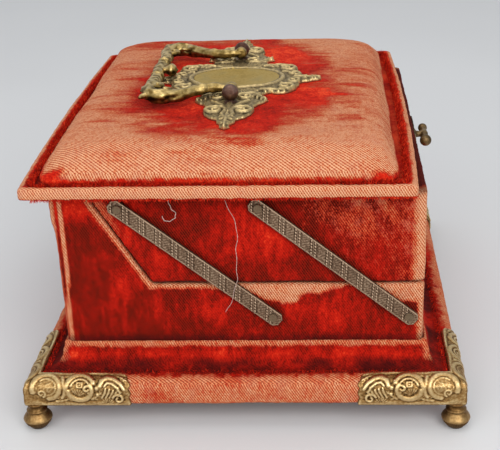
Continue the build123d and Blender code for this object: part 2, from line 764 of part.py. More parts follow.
crescent_tail = -32
crescent_tip = 38
with BuildPart() as clasp_crescent:
    crescent_plane = Plane(origin=(0, crescent_y + crescent_thickness / 2, 0), x_dir=(1, 0, 0), z_dir=(0, -1, 0))
    middle_angle = (crescent_tail + crescent_tip) / 2
    web_angle = crescent_tail + 24
    with BuildSketch(crescent_plane):
        with BuildLine():
            Line(ring_point(1.0, crescent_tail), ring_point(ring_outer, crescent_tail))
            ThreePointArc(
                ring_point(ring_outer, crescent_tail), ring_point(ring_outer, middle_angle),
                ring_point(ring_outer, crescent_tip),
            )
            Line(ring_point(ring_outer, crescent_tip), ring_point(ring_inner, crescent_tip))
            ThreePointArc(
                ring_point(ring_inner, crescent_tip), ring_point(ring_inner, (crescent_tip + web_angle) / 2),
                ring_point(ring_inner, web_angle),
            )
            Polyline(ring_point(ring_inner, web_angle), ring_point(1.0, web_angle), ring_point(1.0, crescent_tail))
        make_face()
        with Locations((0, catch_z)):
            Circle(2.6)
            Circle(knob_shaft_radius, mode=Mode.SUBTRACT)
    extrude(amount=crescent_thickness)
finish(clasp_crescent, "clasp_crescent")

staple_half = 0.75
staple_front = -75.0
staple_back = -70.8
with BuildPart() as lid_staple:
    with BuildSketch(Plane.YZ.offset(-staple_half)):
        with Locations(((staple_front + staple_back) / 2, (lid_bottom_z + 103.2) / 2)):
            Rectangle(staple_back - staple_front, lid_bottom_z - 103.2)
        with Locations(((staple_front + staple_back) / 2, 106.5)):
            Rectangle(3.0, 3.2, mode=Mode.SUBTRACT)
    extrude(amount=2 * staple_half)
    with BuildSketch(Plane((0, (staple_front + staple_back) / 2, lid_bottom_z))):
        RectangleRounded(14, staple_back - staple_front, 1.2)
    extrude(amount=-0.7)
finish(lid_staple, "lid_staple")
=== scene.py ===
import math

import bmesh
import bpy
import numpy as np
from mathutils import Matrix, Vector


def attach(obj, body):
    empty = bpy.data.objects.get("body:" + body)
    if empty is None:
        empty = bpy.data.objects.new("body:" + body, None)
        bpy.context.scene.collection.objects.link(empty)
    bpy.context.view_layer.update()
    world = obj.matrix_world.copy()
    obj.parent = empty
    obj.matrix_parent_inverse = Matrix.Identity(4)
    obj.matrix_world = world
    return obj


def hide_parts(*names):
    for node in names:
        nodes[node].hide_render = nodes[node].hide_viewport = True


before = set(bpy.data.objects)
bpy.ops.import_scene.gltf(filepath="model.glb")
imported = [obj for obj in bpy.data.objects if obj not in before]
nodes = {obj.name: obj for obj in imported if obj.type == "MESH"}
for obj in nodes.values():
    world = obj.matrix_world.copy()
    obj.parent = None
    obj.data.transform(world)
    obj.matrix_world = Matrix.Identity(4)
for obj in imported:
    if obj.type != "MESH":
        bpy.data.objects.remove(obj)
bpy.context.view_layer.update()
MM = 0.001
TAU = 2 * math.pi

# Camera at the photograph's viewing angle: place, turns and focal length in pixels of a 500 px wide frame
CAMERA_AT = (-504.0, -38.6, 278.5)
CAMERA_TURN = (-2.359, 24.378, -1.441)
FOCAL_PX = 1048.0
FRAME_PX = 500.0
CENTRE_PX = 40.0

# Main sizes in mm, as in the solids
HALF_X, HALF_Y = 95.0, 80.5
PARTING, BODY_TOP = 64.3, 108.6
SLANT = ((66.5, BODY_TOP), (40.0, PARTING))
LID_END, LID_FRONT, LID_BACK = 106.0, -75.5, 91.5
LID_BOW = 2.3
PAD_TOP = 129.0
PLATE_Y, PLATE_HALF = 6.8, (75.0, 42.9)
RUN, RISE = 65.1, 53.0
PIVOT_Z = 48.9
PIVOT_Y = {"front": -73.4, "rear": -13.2}
CATCH_Z = 100.0
SIDES = (("left", -1), ("right", 1))
CORNERS = [(f"{x}_{y}", sx, sy) for x, sx in SIDES for y, sy in (("front", -1), ("back", 1))]


def add_camera():
    yaw, pitch, roll = (math.radians(a) for a in CAMERA_TURN)
    forward = Vector((math.cos(yaw) * math.cos(pitch), -math.sin(yaw) * math.cos(pitch), -math.sin(pitch)))
    level = Vector((-math.sin(yaw), -math.cos(yaw), 0))
    rise = level.cross(forward)
    right = level * math.cos(roll) + rise * math.sin(roll)
    up = rise * math.cos(roll) - level * math.sin(roll)
    data = bpy.data.cameras.new("camera")
    data.sensor_width = 36
    data.lens = FOCAL_PX / FRAME_PX * data.sensor_width
    data.shift_x = -CENTRE_PX / FRAME_PX
    data.clip_start = 0.01
    camera = bpy.data.objects.new("camera", data)
    bpy.context.scene.collection.objects.link(camera)
    turn = Matrix((right, up, -forward)).transposed().to_4x4()
    camera.matrix_world = Matrix.Translation(Vector(CAMERA_AT) * MM) @ turn
    bpy.context.scene.camera = camera


# Numbers

def smooth(low, high, x):
    t = np.clip((x - low) / (high - low), 0, 1)
    return t * t * (3 - 2 * t)


def lattice(ix, iy, iz, seed):
    """Repeatable number from -1 to 1 for each whole-numbered place."""
    n = ix * 374761393 + iy * 668265263 + iz * 1442695041 + seed * 1013904223
    n = (n ^ (n >> 13)) * 1274126177
    n = n ^ (n >> 16)
    return (n & 0xFFFF) / 32767.5 - 1


def noise(p, size, seed=0):
    """Smooth value noise from -1 to 1 at points in mm; size is the feature size, one number or three."""
    q = np.asarray(p, float) / np.asarray(size, float) + 100.37 + seed * 7.31
    i = np.floor(q).astype(np.int64)
    f = q - i
    f = f * f * (3 - 2 * f)
    total = 0
    for corner in np.ndindex(2, 2, 2):
        weight = np.prod([f[:, k] if step else 1 - f[:, k] for k, step in enumerate(corner)], axis=0)
        total = total + weight * lattice(*(i[:, k] + corner[k] for k in range(3)), seed)
    return total


def cloudy(p, size, seed=0, octaves=3):
    total, weight, scale = 0, 1.0, 1.0
    for k in range(octaves):
        total = total + weight * noise(p, np.asarray(size, float) * scale, seed + 11 * k)
        weight *= 0.55
        scale *= 0.5
    return total / 1.6


def segment_distance(y, z, a, b):
    ay, az = a
    by, bz = b
    t = np.clip(((y - ay) * (by - ay) + (z - az) * (bz - az)) / ((by - ay) ** 2 + (bz - az) ** 2), 0, 1)
    return np.hypot(y - ay - t * (by - ay), z - az - t * (bz - az))


def spots(y, z, *rows):
    """Sum of soft round patches, each with its middle, its size and its value."""
    return sum(
        value * np.exp(-(((y - at[0]) / size[0]) ** 2 + ((z - at[1]) / size[1]) ** 2))
        for at, size, value in rows
    )


# Meshes

def read(items, name, size, kind=float):
    """One value or vector for each item of a mesh."""
    values = np.empty(len(items) * size, kind)
    items.foreach_get(name, values)
    return values.reshape(-1, size) if size > 1 else values


def get_co(mesh):
    return read(mesh.vertices, "co", 3) / MM


def set_co(mesh, co):
    mesh.vertices.foreach_set("co", (np.asarray(co) * MM).astype(np.float32).ravel())
    mesh.update()


def get_normals(mesh):
    return read(mesh.vertex_normals, "vector", 3)


def relax(mesh, rounds, amount=0.5, keep=None):
    """Moves each vertex towards the mean of its neighbours."""
    co = get_co(mesh)
    a, b = read(mesh.edges, "vertices", 2, np.int64).T
    count = np.bincount(a, minlength=len(co)) + np.bincount(b, minlength=len(co))
    for _ in range(rounds):
        total = np.zeros_like(co)
        for axis in range(3):
            total[:, axis] = np.bincount(a, co[b, axis], len(co)) + np.bincount(b, co[a, axis], len(co))
        step = (total / np.maximum(count, 1)[:, None] - co) * amount
        if keep is not None:
            step *= keep[:, None]
        co = co + step
    set_co(mesh, co)


def cloth_uv(mesh):
    """Box-projected map in mm, so a weave keeps its real pitch."""
    corner = read(mesh.loops, "vertex_index", 1, np.int64)
    main = np.argmax(np.abs(read(mesh.polygons, "normal", 3)), axis=1)
    main = np.repeat(main, read(mesh.polygons, "loop_total", 1, np.int64))
    co = get_co(mesh)[corner]
    u = np.where(main == 0, co[:, 1], co[:, 0])
    v = np.where(main == 2, co[:, 1], co[:, 2])
    layer = mesh.uv_layers.new(name="cloth")
    layer.data.foreach_set("uv", np.stack([u, v], 1).ravel().astype(np.float32))


def set_field(mesh, name, values):
    field = mesh.attributes.get(name) or mesh.attributes.new(name, "FLOAT", "POINT")
    field.data.foreach_set("value", np.asarray(values, np.float32))


def place(name, mesh, material, body, stands_for=(), shade=True):
    obj = bpy.data.objects.new(name, mesh)
    bpy.context.scene.collection.objects.link(obj)
    mesh.materials.clear()
    mesh.materials.append(material)
    if shade:
        mesh.polygons.foreach_set("use_smooth", np.ones(len(mesh.polygons), bool))
    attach(obj, body)
    if stands_for:
        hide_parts(*stands_for)
    return obj


def mesh_from(name, verts, faces):
    mesh = bpy.data.meshes.new(name)
    mesh.from_pydata((np.asarray(verts) * MM).tolist(), [], [list(map(int, f)) for f in faces])
    mesh.update()
    return mesh


def remeshed(name, members, voxel):
    """One dense closed mesh round copies of CAD nodes."""
    bm = bmesh.new()
    for member in members:
        bm.from_mesh(nodes[member].data)
    bmesh.ops.remove_doubles(bm, verts=bm.verts, dist=1e-6)
    rough = bpy.data.meshes.new(name + "_rough")
    bm.to_mesh(rough)
    bm.free()
    obj = bpy.data.objects.new(name + "_rough", rough)
    bpy.context.scene.collection.objects.link(obj)
    change = obj.modifiers.new("remesh", "REMESH")
    change.mode = "VOXEL"
    change.voxel_size = voxel * MM
    change.adaptivity = 0
    bpy.context.view_layer.update()
    mesh = bpy.data.meshes.new_from_object(obj.evaluated_get(bpy.context.evaluated_depsgraph_get()))
    mesh.name = name
    bpy.data.objects.remove(obj)
    bpy.data.meshes.remove(rough)
    return mesh


def grid_faces(rows, columns, offset=0, flip=False, wrap=False):
    faces = []
    for i in range(rows - 1):
        for j in range(columns if wrap else columns - 1):
            k = (j + 1) % columns
            low, high = offset + i * columns, offset + (i + 1) * columns
            face = (low + j, low + k, high + k, high + j)
            faces.append(face[::-1] if flip else face)
    return faces


def slab(front, back, flip=False):
    """Closed solid between two grids of points."""
    rows, columns = front.shape[:2]
    size = rows * columns
    faces = grid_faces(rows, columns) + grid_faces(rows, columns, size, flip=True)
    rim = [(0, j) for j in range(columns)] + [(i, columns - 1) for i in range(1, rows)]
    rim += [(rows - 1, j) for j in range(columns - 2, -1, -1)] + [(i, 0) for i in range(rows - 2, 0, -1)]
    ring = [i * columns + j for i, j in rim]
    for a, b in zip(ring, ring[1:] + ring[:1]):
        faces.append((b, a, a + size, b + size))
    if flip:
        faces = [f[::-1] for f in faces]
    return np.concatenate([front.reshape(-1, 3), back.reshape(-1, 3)]), faces


def closed_rings(rings):
    """Solid through rings of equally many points, with a flat face on the first and the last."""
    count, sides = len(rings), len(rings[0])
    faces = grid_faces(count, sides, wrap=True)
    faces.append(tuple(range(sides - 1, -1, -1)))
    faces.append(tuple(range((count - 1) * sides, count * sides)))
    return np.concatenate(rings), faces


def tube(points, radii, sides=10, shape=None):
    """Closed tube along points; shape(t, angle) scales its radius."""
    points = np.asarray(points, float)
    count = len(points)
    radii = np.broadcast_to(np.asarray(radii, float), count)
    tangent = np.gradient(points, axis=0)
    tangent /= np.linalg.norm(tangent, axis=1)[:, None]
    side = np.cross(tangent[0], (0.0, 0.0, 1.0))
    if np.linalg.norm(side) < 0.2:
        side = np.cross(tangent[0], (1.0, 0.0, 0.0))
    angle = np.arange(sides) / sides * TAU
    rings = []
    for k in range(count):
        side = side - tangent[k] * np.dot(side, tangent[k])
        side /= np.linalg.norm(side)
        other = np.cross(tangent[k], side)
        r = radii[k] * (shape(k / (count - 1), angle) if shape else np.ones(sides))
        rings.append(points[k] + np.outer(r * np.cos(angle), side) + np.outer(r * np.sin(angle), other))
    return closed_rings(rings)


def turned(profile, sides, shape=None):
    """Solid turned about the z axis from (radius, height) points, lowest first."""
    angle = np.arange(sides) / sides * TAU
    rings = []
    for radius, height in profile:
        r = radius * (shape(height, angle) if shape else np.ones(sides))
        rings.append(np.stack([r * np.cos(angle), r * np.sin(angle), np.full(sides, height)], 1))
    return closed_rings(rings)


def through(points, samples=8):
    """Smooth line through points."""
    p = np.asarray(points, float)
    p = np.vstack([2 * p[0] - p[1], p, 2 * p[-1] - p[-2]])
    t = np.linspace(0, 1, samples, endpoint=False)[:, None]
    out = []
    for a, b, c, d in zip(p, p[1:-2], p[2:-1], p[3:]):
        bend = (2 * a - 5 * b + 4 * c - d) * t ** 2 + (3 * b - a - 3 * c + d) * t ** 3
        out.append(0.5 * (2 * b + (c - a) * t + bend))
    out.append(p[-2][None])
    return np.vstack(out)


class Pile:
    """Gathers verts and faces of several forms into one mesh."""

    def __init__(self):
        self.verts, self.faces, self.size = [], [], 0

    def add(self, verts, faces):
        self.faces += [tuple(i + self.size for i in f) for f in faces]
        self.verts.append(np.asarray(verts, float))
        self.size += len(verts)

    def mesh(self, name):
        return mesh_from(name, np.concatenate(self.verts), self.faces)


# Materials

def rgb(code):
    if not isinstance(code, str):
        return code
    c = [int(code[i:i + 2], 16) / 255 for i in (1, 3, 5)]
    return tuple(x / 12.92 if x <= 0.04045 else ((x + 0.055) / 1.055) ** 2.4 for x in c) + (1.0,)


def put(tree, socket, value):
    if isinstance(value, bpy.types.NodeSocket):
        tree.links.new(value, socket)
    else:
        socket.default_value = value


def node(tree, kind, sockets=None, **settings):
    n = tree.nodes.new(kind)
    for key, value in settings.items():
        setattr(n, key, value)
    for key, value in (sockets or {}).items():
        put(tree, n.inputs[key], value)
    return n


class Shade:
    """The nodes of one material."""

    def __init__(self, name):
        self.material = bpy.data.materials.new(name)
        self.material.use_nodes = True
        self.tree = self.material.node_tree
        self.tree.nodes.clear()
        self.shader = self.tree.nodes.new("ShaderNodeBsdfPrincipled")
        out = self.tree.nodes.new("ShaderNodeOutputMaterial")
        self.tree.links.new(self.shader.outputs[0], out.inputs[0])
        self.where = self.add("ShaderNodeTexCoord", output="Object")

    def add(self, kind, sockets=None, output=0, **settings):
        return node(self.tree, kind, sockets, **settings).outputs[output]

    def math(self, kind, *values, clamp=False):
        return self.add("ShaderNodeMath", dict(enumerate(values)), operation=kind, use_clamp=clamp)

    def vary(self, value, *fields):
        """Adds fields about their middle, each with its amount, and clamps."""
        for k, (field, amount) in enumerate(fields):
            swing = self.math("MULTIPLY", self.math("SUBTRACT", field, 0.5), amount)
            value = self.math("ADD", value, swing, clamp=k == len(fields) - 1)
        return value

    def blend(self, a, b, share):
        return self.math("ADD", self.math("MULTIPLY", a, share), self.math("MULTIPLY", b, 1 - share))

    def mix(self, factor, a, b):
        sockets = {0: factor, 6: rgb(a), 7: rgb(b)}
        return self.add("ShaderNodeMix", sockets, 2, data_type="RGBA", blend_type="MIX")

    def stain(self, field, amount, colour, stain, clamp=False):
        return self.mix(self.math("MULTIPLY", field, amount, clamp=clamp), colour, stain)

    def ramp(self, factor, *stops):
        n = node(self.tree, "ShaderNodeValToRGB", {0: factor})
        while len(n.color_ramp.elements) < len(stops):
            n.color_ramp.elements.new(0.5)
        for element, (at, colour) in zip(n.color_ramp.elements, stops):
            element.position = at
            element.color = rgb(colour)
        return n.outputs[0]

    def spread(self, value, low, high):
        sockets = {0: value, 1: low, 2: high, 3: 0.0, 4: 1.0}
        return self.add("ShaderNodeMapRange", sockets, interpolation_type="SMOOTHSTEP")

    def texture(self, scale, detail=3.0, roughness=0.55, distortion=0.0, vector=None):
        sockets = {
            "Vector": vector or self.where, "Scale": scale, "Detail": detail,
            "Roughness": roughness, "Distortion": distortion,
        }
        return self.add("ShaderNodeTexNoise", sockets)

    def stretched(self, vector, *scale):
        return self.add("ShaderNodeMapping", {"Vector": vector, "Scale": scale})

    def cloth(self):
        return self.add("ShaderNodeUVMap", uv_map="cloth")

    def field(self, name):
        return self.add("ShaderNodeAttribute", output="Fac", attribute_name=name)

    def finish(self, colour, strength, depth, height, **surface):
        """Sets the colour, the bump and the other surface values, and gives the material."""
        bump = self.add("ShaderNodeBump", {"Strength": strength, "Distance": depth, "Height": height})
        put(self.tree, self.shader.inputs["Base Color"], colour)
        put(self.tree, self.shader.inputs["Normal"], bump)
        for key, value in surface.items():
            put(self.tree, self.shader.inputs[key.replace("_", " ")], value)
        return self.material


WEAVE_PITCH, WEAVE_SLOPE = 1.15, 0.62


def velvet_material():
    """Cut pile over a diagonal ground weave, which shows where the wear field is high."""
    s = Shade("velvet")
    fine = s.texture(2600.0, 2.0)
    grain = s.texture(900.0)
    patch = s.texture(160.0, 4.0, 0.6)
    streak = s.texture(480.0, 3.0, 0.6, vector=s.stretched(s.where, 1.0, 1.0, 0.3))
    # ground weave: two crossing diagonals at the real pitch
    cloth = node(s.tree, "ShaderNodeSeparateXYZ", {0: s.cloth()}).outputs
    lean = s.math("MULTIPLY", cloth[1], WEAVE_SLOPE)
    rising, falling = (
        s.math("SINE", s.math("MULTIPLY", s.math(way, cloth[0], lean), TAU / WEAVE_PITCH))
        for way in ("ADD", "SUBTRACT")
    )
    weave = s.math("MULTIPLY_ADD", falling, 0.34, 0.5)
    weave = s.math("ADD", weave, s.math("MULTIPLY", rising, 0.16))
    hatch = s.spread(weave, 0.26, 0.62)
    # worn ground, its threads lighter than the gaps
    level = s.vary(s.field("wear"), (grain, 0.75), (fine, 0.45), (streak, 0.5))
    bare = s.spread(level, 0.3, 0.55)
    light = s.ramp(level, (0.35, "#BC2410"), (0.6, "#CC5230"), (0.8, "#DC885C"), (1.0, "#E8AE86"))
    dark = s.ramp(level, (0.35, "#7C0A06"), (0.6, "#9A2212"), (0.8, "#A03A1E"), (1.0, "#B45C36"))
    ground = s.mix(hatch, dark, light)
    dusty = s.stain(s.spread(patch, 0.45, 0.7), 0.25, ground, "#B8705C")
    # pile, light where the nap leans to the light; its field also carries painted highlights and painted
    # shade
    tone = s.math("MULTIPLY_ADD", s.field("nap_and_painted_light"), 0.5, 0.5)
    tone = s.vary(tone, (patch, 0.45), (grain, 0.8), (streak, 0.9), (fine, 0.6))
    pile = s.ramp(
        tone, (0.0, "#440302"), (0.3, "#7A0503"), (0.55, "#AC0E07"), (0.8, "#CC200F"), (1.0, "#EA4A26"),
    )
    pile = s.stain(hatch, 0.18, pile, "#E2401A")
    # colour darkened by the dirt_and_shade field: real dirt and stains, and painted shade in creases, gaps,
    # grooves and under the lid
    colour = s.stain(s.field("dirt_and_shade"), 0.85, s.mix(bare, pile, dusty), "#2A0A0A", clamp=True)
    height = s.mix(bare, s.math("ADD", grain, fine), weave)
    return s.finish(
        colour, 0.8, 0.00035, height, Roughness=0.9, Specular_IOR_Level=0.08,
        Sheen_Weight=0.04, Sheen_Roughness=0.35, Sheen_Tint=(1.0, 0.42, 0.28, 1),
    )


def metal_material(name, low, middle, high, rough, stain="#4A4A3A", stained=0.3, grain_scale=900.0):
    """Old brass: dark in the hollows of the relief field, bright on the high places; on the bail the field
    also holds painted light on the upward faces.
    """
    s = Shade(name)
    cloud = s.texture(120.0, 4.0)
    grain = s.texture(grain_scale)
    level = s.math("ADD", s.field("relief"), s.math("MULTIPLY", s.math("SUBTRACT", grain, 0.5), 0.5))
    level = s.vary(level, (cloud, 0.5))
    colour = s.ramp(level, (0.0, low), (0.45, middle), (1.0, high))
    colour = s.stain(s.spread(cloud, 0.5, 0.75), stained, colour, stain)
    dull = s.ramp(level, (0.0, (min(rough + 0.3, 1),) * 3 + (1,)), (1.0, (rough,) * 3 + (1,)))
    return s.finish(colour, 0.7, 0.0001, s.math("ADD", grain, cloud), Metallic=1.0, Roughness=dull)


def satin_material():
    s = Shade("satin")
    cloud = s.texture(45.0, 4.0)
    thread = s.texture(1.0, vector=s.stretched(s.cloth(), 0.35, 6.0, 1.0))
    colour = s.ramp(s.blend(cloud, thread, 0.7), (0.25, "#A8584C"), (0.5, "#C87E6C"), (0.8, "#DFA48E"))
    colour = s.stain(s.field("dirt_and_shade"), 0.7, colour, "#5A2A20", clamp=True)
    return s.finish(colour, 0.5, 0.0002, thread, Roughness=0.42, Anisotropic=0.5, Sheen_Weight=0.2)


def board_material():
    """Old marbled paper over millboard, foxed and scuffed."""
    s = Shade("board")
    cloud = s.texture(60.0, 5.0, 0.65, 1.2)
    fibre = s.texture(500.0, 4.0, vector=s.stretched(s.where, 1.0, 6.0, 1.0))
    colour = s.ramp(s.blend(cloud, fibre, 0.7), (0.3, "#4A3526"), (0.5, "#6E543C"), (0.75, "#8E7454"))
    colour = s.stain(s.spread(s.texture(240.0, 2.0), 0.62, 0.72), 0.6, colour, "#3A2416")
    return s.finish(colour, 0.4, 0.0002, fibre, Roughness=0.8)


def thread_material():
    s = Shade("thread")
    twist = s.texture(1800.0, 2.0)
    return s.finish(s.ramp(twist, (0.3, "#96746A"), (0.7, "#D2B8AC")), 0.6, 0.0001, twist, Roughness=0.85)


add_camera()
VELVET = velvet_material()
SATIN = satin_material()
BOARD = board_material()
THREAD = thread_material()
MOUNT = metal_material("mount_brass", "#362410", "#A07A48", "#F2D69E", 0.3, "#74603C", 0.25)
FOOT = metal_material("foot_brass", "#261A0E", "#785832", "#DAB47A", 0.3, "#4E3C24")
ARM = metal_material("arm_brass", "#38281E", "#7C6450", "#D0B498", 0.44, "#64523E", grain_scale=1500.0)
HANDLE = metal_material("handle_brass", "#20180A", "#806838", "#E0C282", 0.31, "#4A4228", 0.35)
COPPER = metal_material("post_copper", "#261612", "#5E4238", "#A68476", 0.38)
CLASP = metal_material("clasp_brass", "#302618", "#7C6444", "#C8A878", 0.34)
RIVET = metal_material("rivet_brass", "#84705A", "#9C866C", "#BEA688", 0.45)
HINGE = metal_material("hinge_brass", "#3A2A14", "#8A6A38", "#C8A868", 0.4)
PLATE = metal_material("plate_brass", "#362C1C", "#9A8662", "#F0D294", 0.36, "#8A7C64", 0.45)
PLAQUE = metal_material("plaque_brass", "#7A662E", "#BC9E56", "#E0C47E", 0.38, "#968450", 0.4)


# Velvet over the boards

def covered(members, voxel, rounds):
    """Dense copy of boards with its points and normals."""
    mesh = remeshed("velvet", members, voxel)
    relax(mesh, rounds)
    return mesh, get_co(mesh), get_normals(mesh)


def dress(name, mesh, moved, body, wear, nap_and_painted_light, dirt_and_shade, stands_for):
    """Finishes a velvet piece: its moved points and the three fields that its material reads."""
    mesh.name = name
    set_co(mesh, moved)
    for field, values in (("wear", wear), ("nap_and_painted_light", nap_and_painted_light), ("dirt_and_shade", dirt_and_shade)):
        set_field(mesh, field, values)
    cloth_uv(mesh)
    return place(name, mesh, VELVET, body, stands_for)


def patches(p, seed):
    """Nap lying different ways: broad clouds with a slight vertical drift."""
    small = 0.3 * noise(p, (6, 6, 15), seed + 3) + 0.22 * noise(p, (2.2, 2.2, 5.0), seed + 5)
    return 0.72 * cloudy(p, (22, 28, 24), seed) + small


def beside_arms(y, z):
    """Distance from the nearer arm's middle line at rest."""
    lines = [((foot, PIVOT_Z), (foot + RUN, PIVOT_Z + RISE)) for foot in PIVOT_Y.values()]
    return np.minimum(*(segment_distance(y, z, *line) for line in lines))


def case_velvet():
    members = ("cheek_left", "cheek_right", "wall_front", "wall_back")
    mesh, p, n = covered(members, 1.15, 3)
    x, y, z = np.abs(p[:, 0]), p[:, 1], p[:, 2]
    rag = 0.5 * noise(p, 1.6, 1)
    end = smooth(92, 94, x)
    # rubbed edge that follows the parting, broad in the middle and at the front corner
    broad = 1.9 + 7.0 * np.exp(-((y + 17) / 13) ** 2) + 7.0 * smooth(-58, -77, y)
    broad += 1.8 * noise(p, (4, 6, 6), 17) * smooth(10, -6, y)
    slant = np.minimum(
        segment_distance(y, z, *SLANT) - 2.3,
        segment_distance(y, z, SLANT[1], (-HALF_Y, PARTING)) - broad,
    )
    frayed = 0.5 * rag + 1.3 * noise(p, (2.4, 2.4, 4.0), 19) * smooth(20, 5, y)
    wear = 0.9 * smooth(1.7, -1.3, slant + frayed) * smooth(89, 92, x)
    back_edge = np.hypot(x - HALF_X, y - 81)
    wear = np.maximum(wear, smooth(1.9, 0.7, back_edge + 0.4 * rag))
    # piping inside the back corner
    piping_y = 77.1 + 1.3 * smooth(76, 42, z)
    piping = np.exp(-((y - piping_y) / 1.0) ** 2) * end
    wear = np.maximum(wear, 0.95 * smooth(1.5, 0.6, np.abs(y - piping_y) + 0.5 * rag) * end)
    front_edge = np.hypot(x - HALF_X, y + HALF_Y)
    wear = np.maximum(wear, smooth(5.4, 1.2, front_edge + 1.6 * rag))
    wear = np.maximum(wear, 0.8 * smooth(1.6, 0.4, BODY_TOP - z + 0.5 * rag) * smooth(64, 67, y))
    wear = np.where(wear > 0.5, np.maximum(wear, 0.42 + 0.1 * noise(p, 2.5, 8)), wear)
    wear += 0.24 * smooth(0.2, 0.9, cloudy(p, (14, 12, 12), 21)) * smooth(30, -40, y) * end
    nap_and_painted_light = patches(p, 2) - 0.42
    # bright and dark patches of pile, in part painted glints and painted shade
    nap_and_painted_light += end * spots(
        y, z, ((68, 102), (12, 6), 1.3), ((64, 82), (13, 13), -0.5), ((25, 50), (22, 6), 0.5),
        ((-30, 50), (30, 8), 0.35), ((55, 45), (20, 8), -0.4),
    )
    # darker pile beside the arms, where it is less worn and where the arms cast painted shadow; painted
    # shadow under the lid
    nap_and_painted_light -= (0.55 * smooth(6.5, 3.6, beside_arms(y, z)) + 0.6 * smooth(102.5, 107, z)) * end
    # painted shade, patchy, low on the case where it meets the plinth; then painted shade along the parting
    # gap and under the lid
    dirt_and_shade = 0.7 * smooth(40.4, 37.4, z) * smooth(-1, 1, noise(p, 9, 4) + 0.7)
    dirt_and_shade = np.maximum(dirt_and_shade, 0.7 * smooth(PARTING - 1.2, PARTING + 0.2, z) * smooth(88, 84, x))
    dirt_and_shade = np.maximum(dirt_and_shade, 0.6 * smooth(106.2, 108.6, z + 0.6 * rag))
    lift = 0.55 * piping - 0.25 * wear + 0.12 * noise(p, 1.6, 6) + 0.35 * cloudy(p, 18, 9)
    dress("case_velvet", mesh, p + n * lift[:, None], "case", wear, nap_and_painted_light, dirt_and_shade, members)


def plinth_velvet():
    members = ("plinth_front", "plinth_back", "plinth_left", "plinth_right")
    mesh, p, n = covered(members, 1.1, 2)
    z = p[:, 2]
    ux, uy = np.abs(p[:, 0]) - HALF_X, np.abs(p[:, 1]) - HALF_Y
    u = np.maximum(ux, uy)
    rag = noise(p, 2.2, 1)
    cove = smooth(25.6, 28, z)
    wear = 0.86 * smooth(25.6, 24.4, z + 0.45 * rag) * smooth(8.5, 11, u)
    wear *= 0.94 - 0.26 * smooth(0.1, 0.8, cloudy(p, (18, 18, 8), 31))
    wear = np.maximum(wear, 0.78 * smooth(32.4, 35.2, z + 0.8 * rag))
    mitre = np.abs(ux - uy)
    wear = np.maximum(wear, 0.75 * smooth(5.4, 0.8, mitre + 1.2 * rag) * cove)
    # painted highlight on the upward-facing round above the cove
    nap_and_painted_light = patches(p, 12) - 0.15 + 0.35 * smooth(33.0, 30.5, z) * smooth(27.5, 30, z)
    # dirt and painted shade at the foot of the cove, and painted shade low down under the band
    dirt_and_shade = smooth(24.2, 25.0, z) * smooth(30.4, 26.4, z + 1.5 * noise(p, (6, 6, 2), 5)) * smooth(11.5, 9.5, u)
    dirt_and_shade *= np.clip(0.75 + 0.6 * noise(p, (13, 13, 6), 7) + 0.25 * noise(p, 3, 8), 0, 1)
    dirt_and_shade = np.maximum(dirt_and_shade, 0.6 * smooth(13.6, 13.0, z))
    lift = 0.15 * noise(p, 1.5, 6) + 0.25 * cloudy(p, 15, 9) + 0.3 * smooth(2.2, 0.6, mitre) * cove
    shoulder = smooth(23.4, 24.8, z) * smooth(7.5, 9.5, u)
    lift += 0.45 * shoulder * (0.5 + 0.5 * noise(p, 1.2, 14))
    dress("plinth_velvet", mesh, p + n * lift[:, None], "case", wear, nap_and_painted_light, dirt_and_shade, members)


def tray_velvet():
    members = ("tray_left", "tray_right", "tray_front", "tray_back")
    mesh, p, n = covered(members, 1.1, 3)
    x, y, z = np.abs(p[:, 0]), p[:, 1], p[:, 2]
    rag = noise(p, 2.6, 2)
    end = smooth(92, 94, x)
    slant = segment_distance(y, z, *SLANT)
    wear = 0.62 * smooth(9.5, 3.0, slant + 2.2 * noise(p, (5, 5, 3), 3)) * smooth(78, 98, z) * end
    wear = np.maximum(wear, smooth(9.5, 2.8, np.hypot(x - HALF_X, y + HALF_Y) + 1.2 * rag))
    streaks = 0.5 + 0.5 * noise(np.stack([p[:, 0], y - 0.6 * z, 0.35 * z], 1), 5, 43)
    rubbed = spots(y, z, ((-50, 98), (20, 13), 1.0), ((-72, 84), (8, 20), 0.7))
    rubbed += 0.35 * smooth(10, -30, y)
    thin = 0.6 * np.clip(rubbed, 0, 1) * (0.35 + 0.65 * streaks) * end
    wear = np.maximum(wear, thin + 0.1 * smooth(-20, -60, y))
    # painted shadow under the lid, darker towards the top; the patches below are in part painted light and
    # shade
    nap_and_painted_light = patches(p, 22) - 0.32 - 0.85 * smooth(101.5, 107, z)
    nap_and_painted_light += end * spots(
        y, z, ((-12, 82), (16, 12), 0.45), ((-62, 84), (14, 14), 0.35),
        ((22, 92), (16, 8), -0.5), ((-40, 100), (20, 6), -0.4),
    )
    # darker pile beside the arms: less worn pile and painted shadow of the arms
    nap_and_painted_light -= 0.55 * smooth(6.5, 3.6, beside_arms(y, z)) * end
    # painted shade along the parting gap and under the lid
    dirt_and_shade = 0.85 * smooth(66.6, 64.9, z + 0.8 * rag) + 0.75 * smooth(105.6, 108.4, z + 0.6 * rag)
    lift = -0.2 * wear + 0.12 * noise(p, 1.6, 6) + 0.35 * cloudy(p, 18, 19)
    dress("tray_velvet", mesh, p + n * lift[:, None], "tray", wear, nap_and_painted_light, np.clip(dirt_and_shade, 0, 1), members)


def lid_inset(p):
    """Distance in from the lid's edge, in plan."""
    bow = LID_BOW * (1 - (p[:, 0] / LID_END) ** 2)
    from_front, from_back = p[:, 1] - LID_FRONT + bow, LID_BACK + bow - p[:, 1]
    return np.minimum(LID_END - np.abs(p[:, 0]), np.minimum(from_front, from_back))


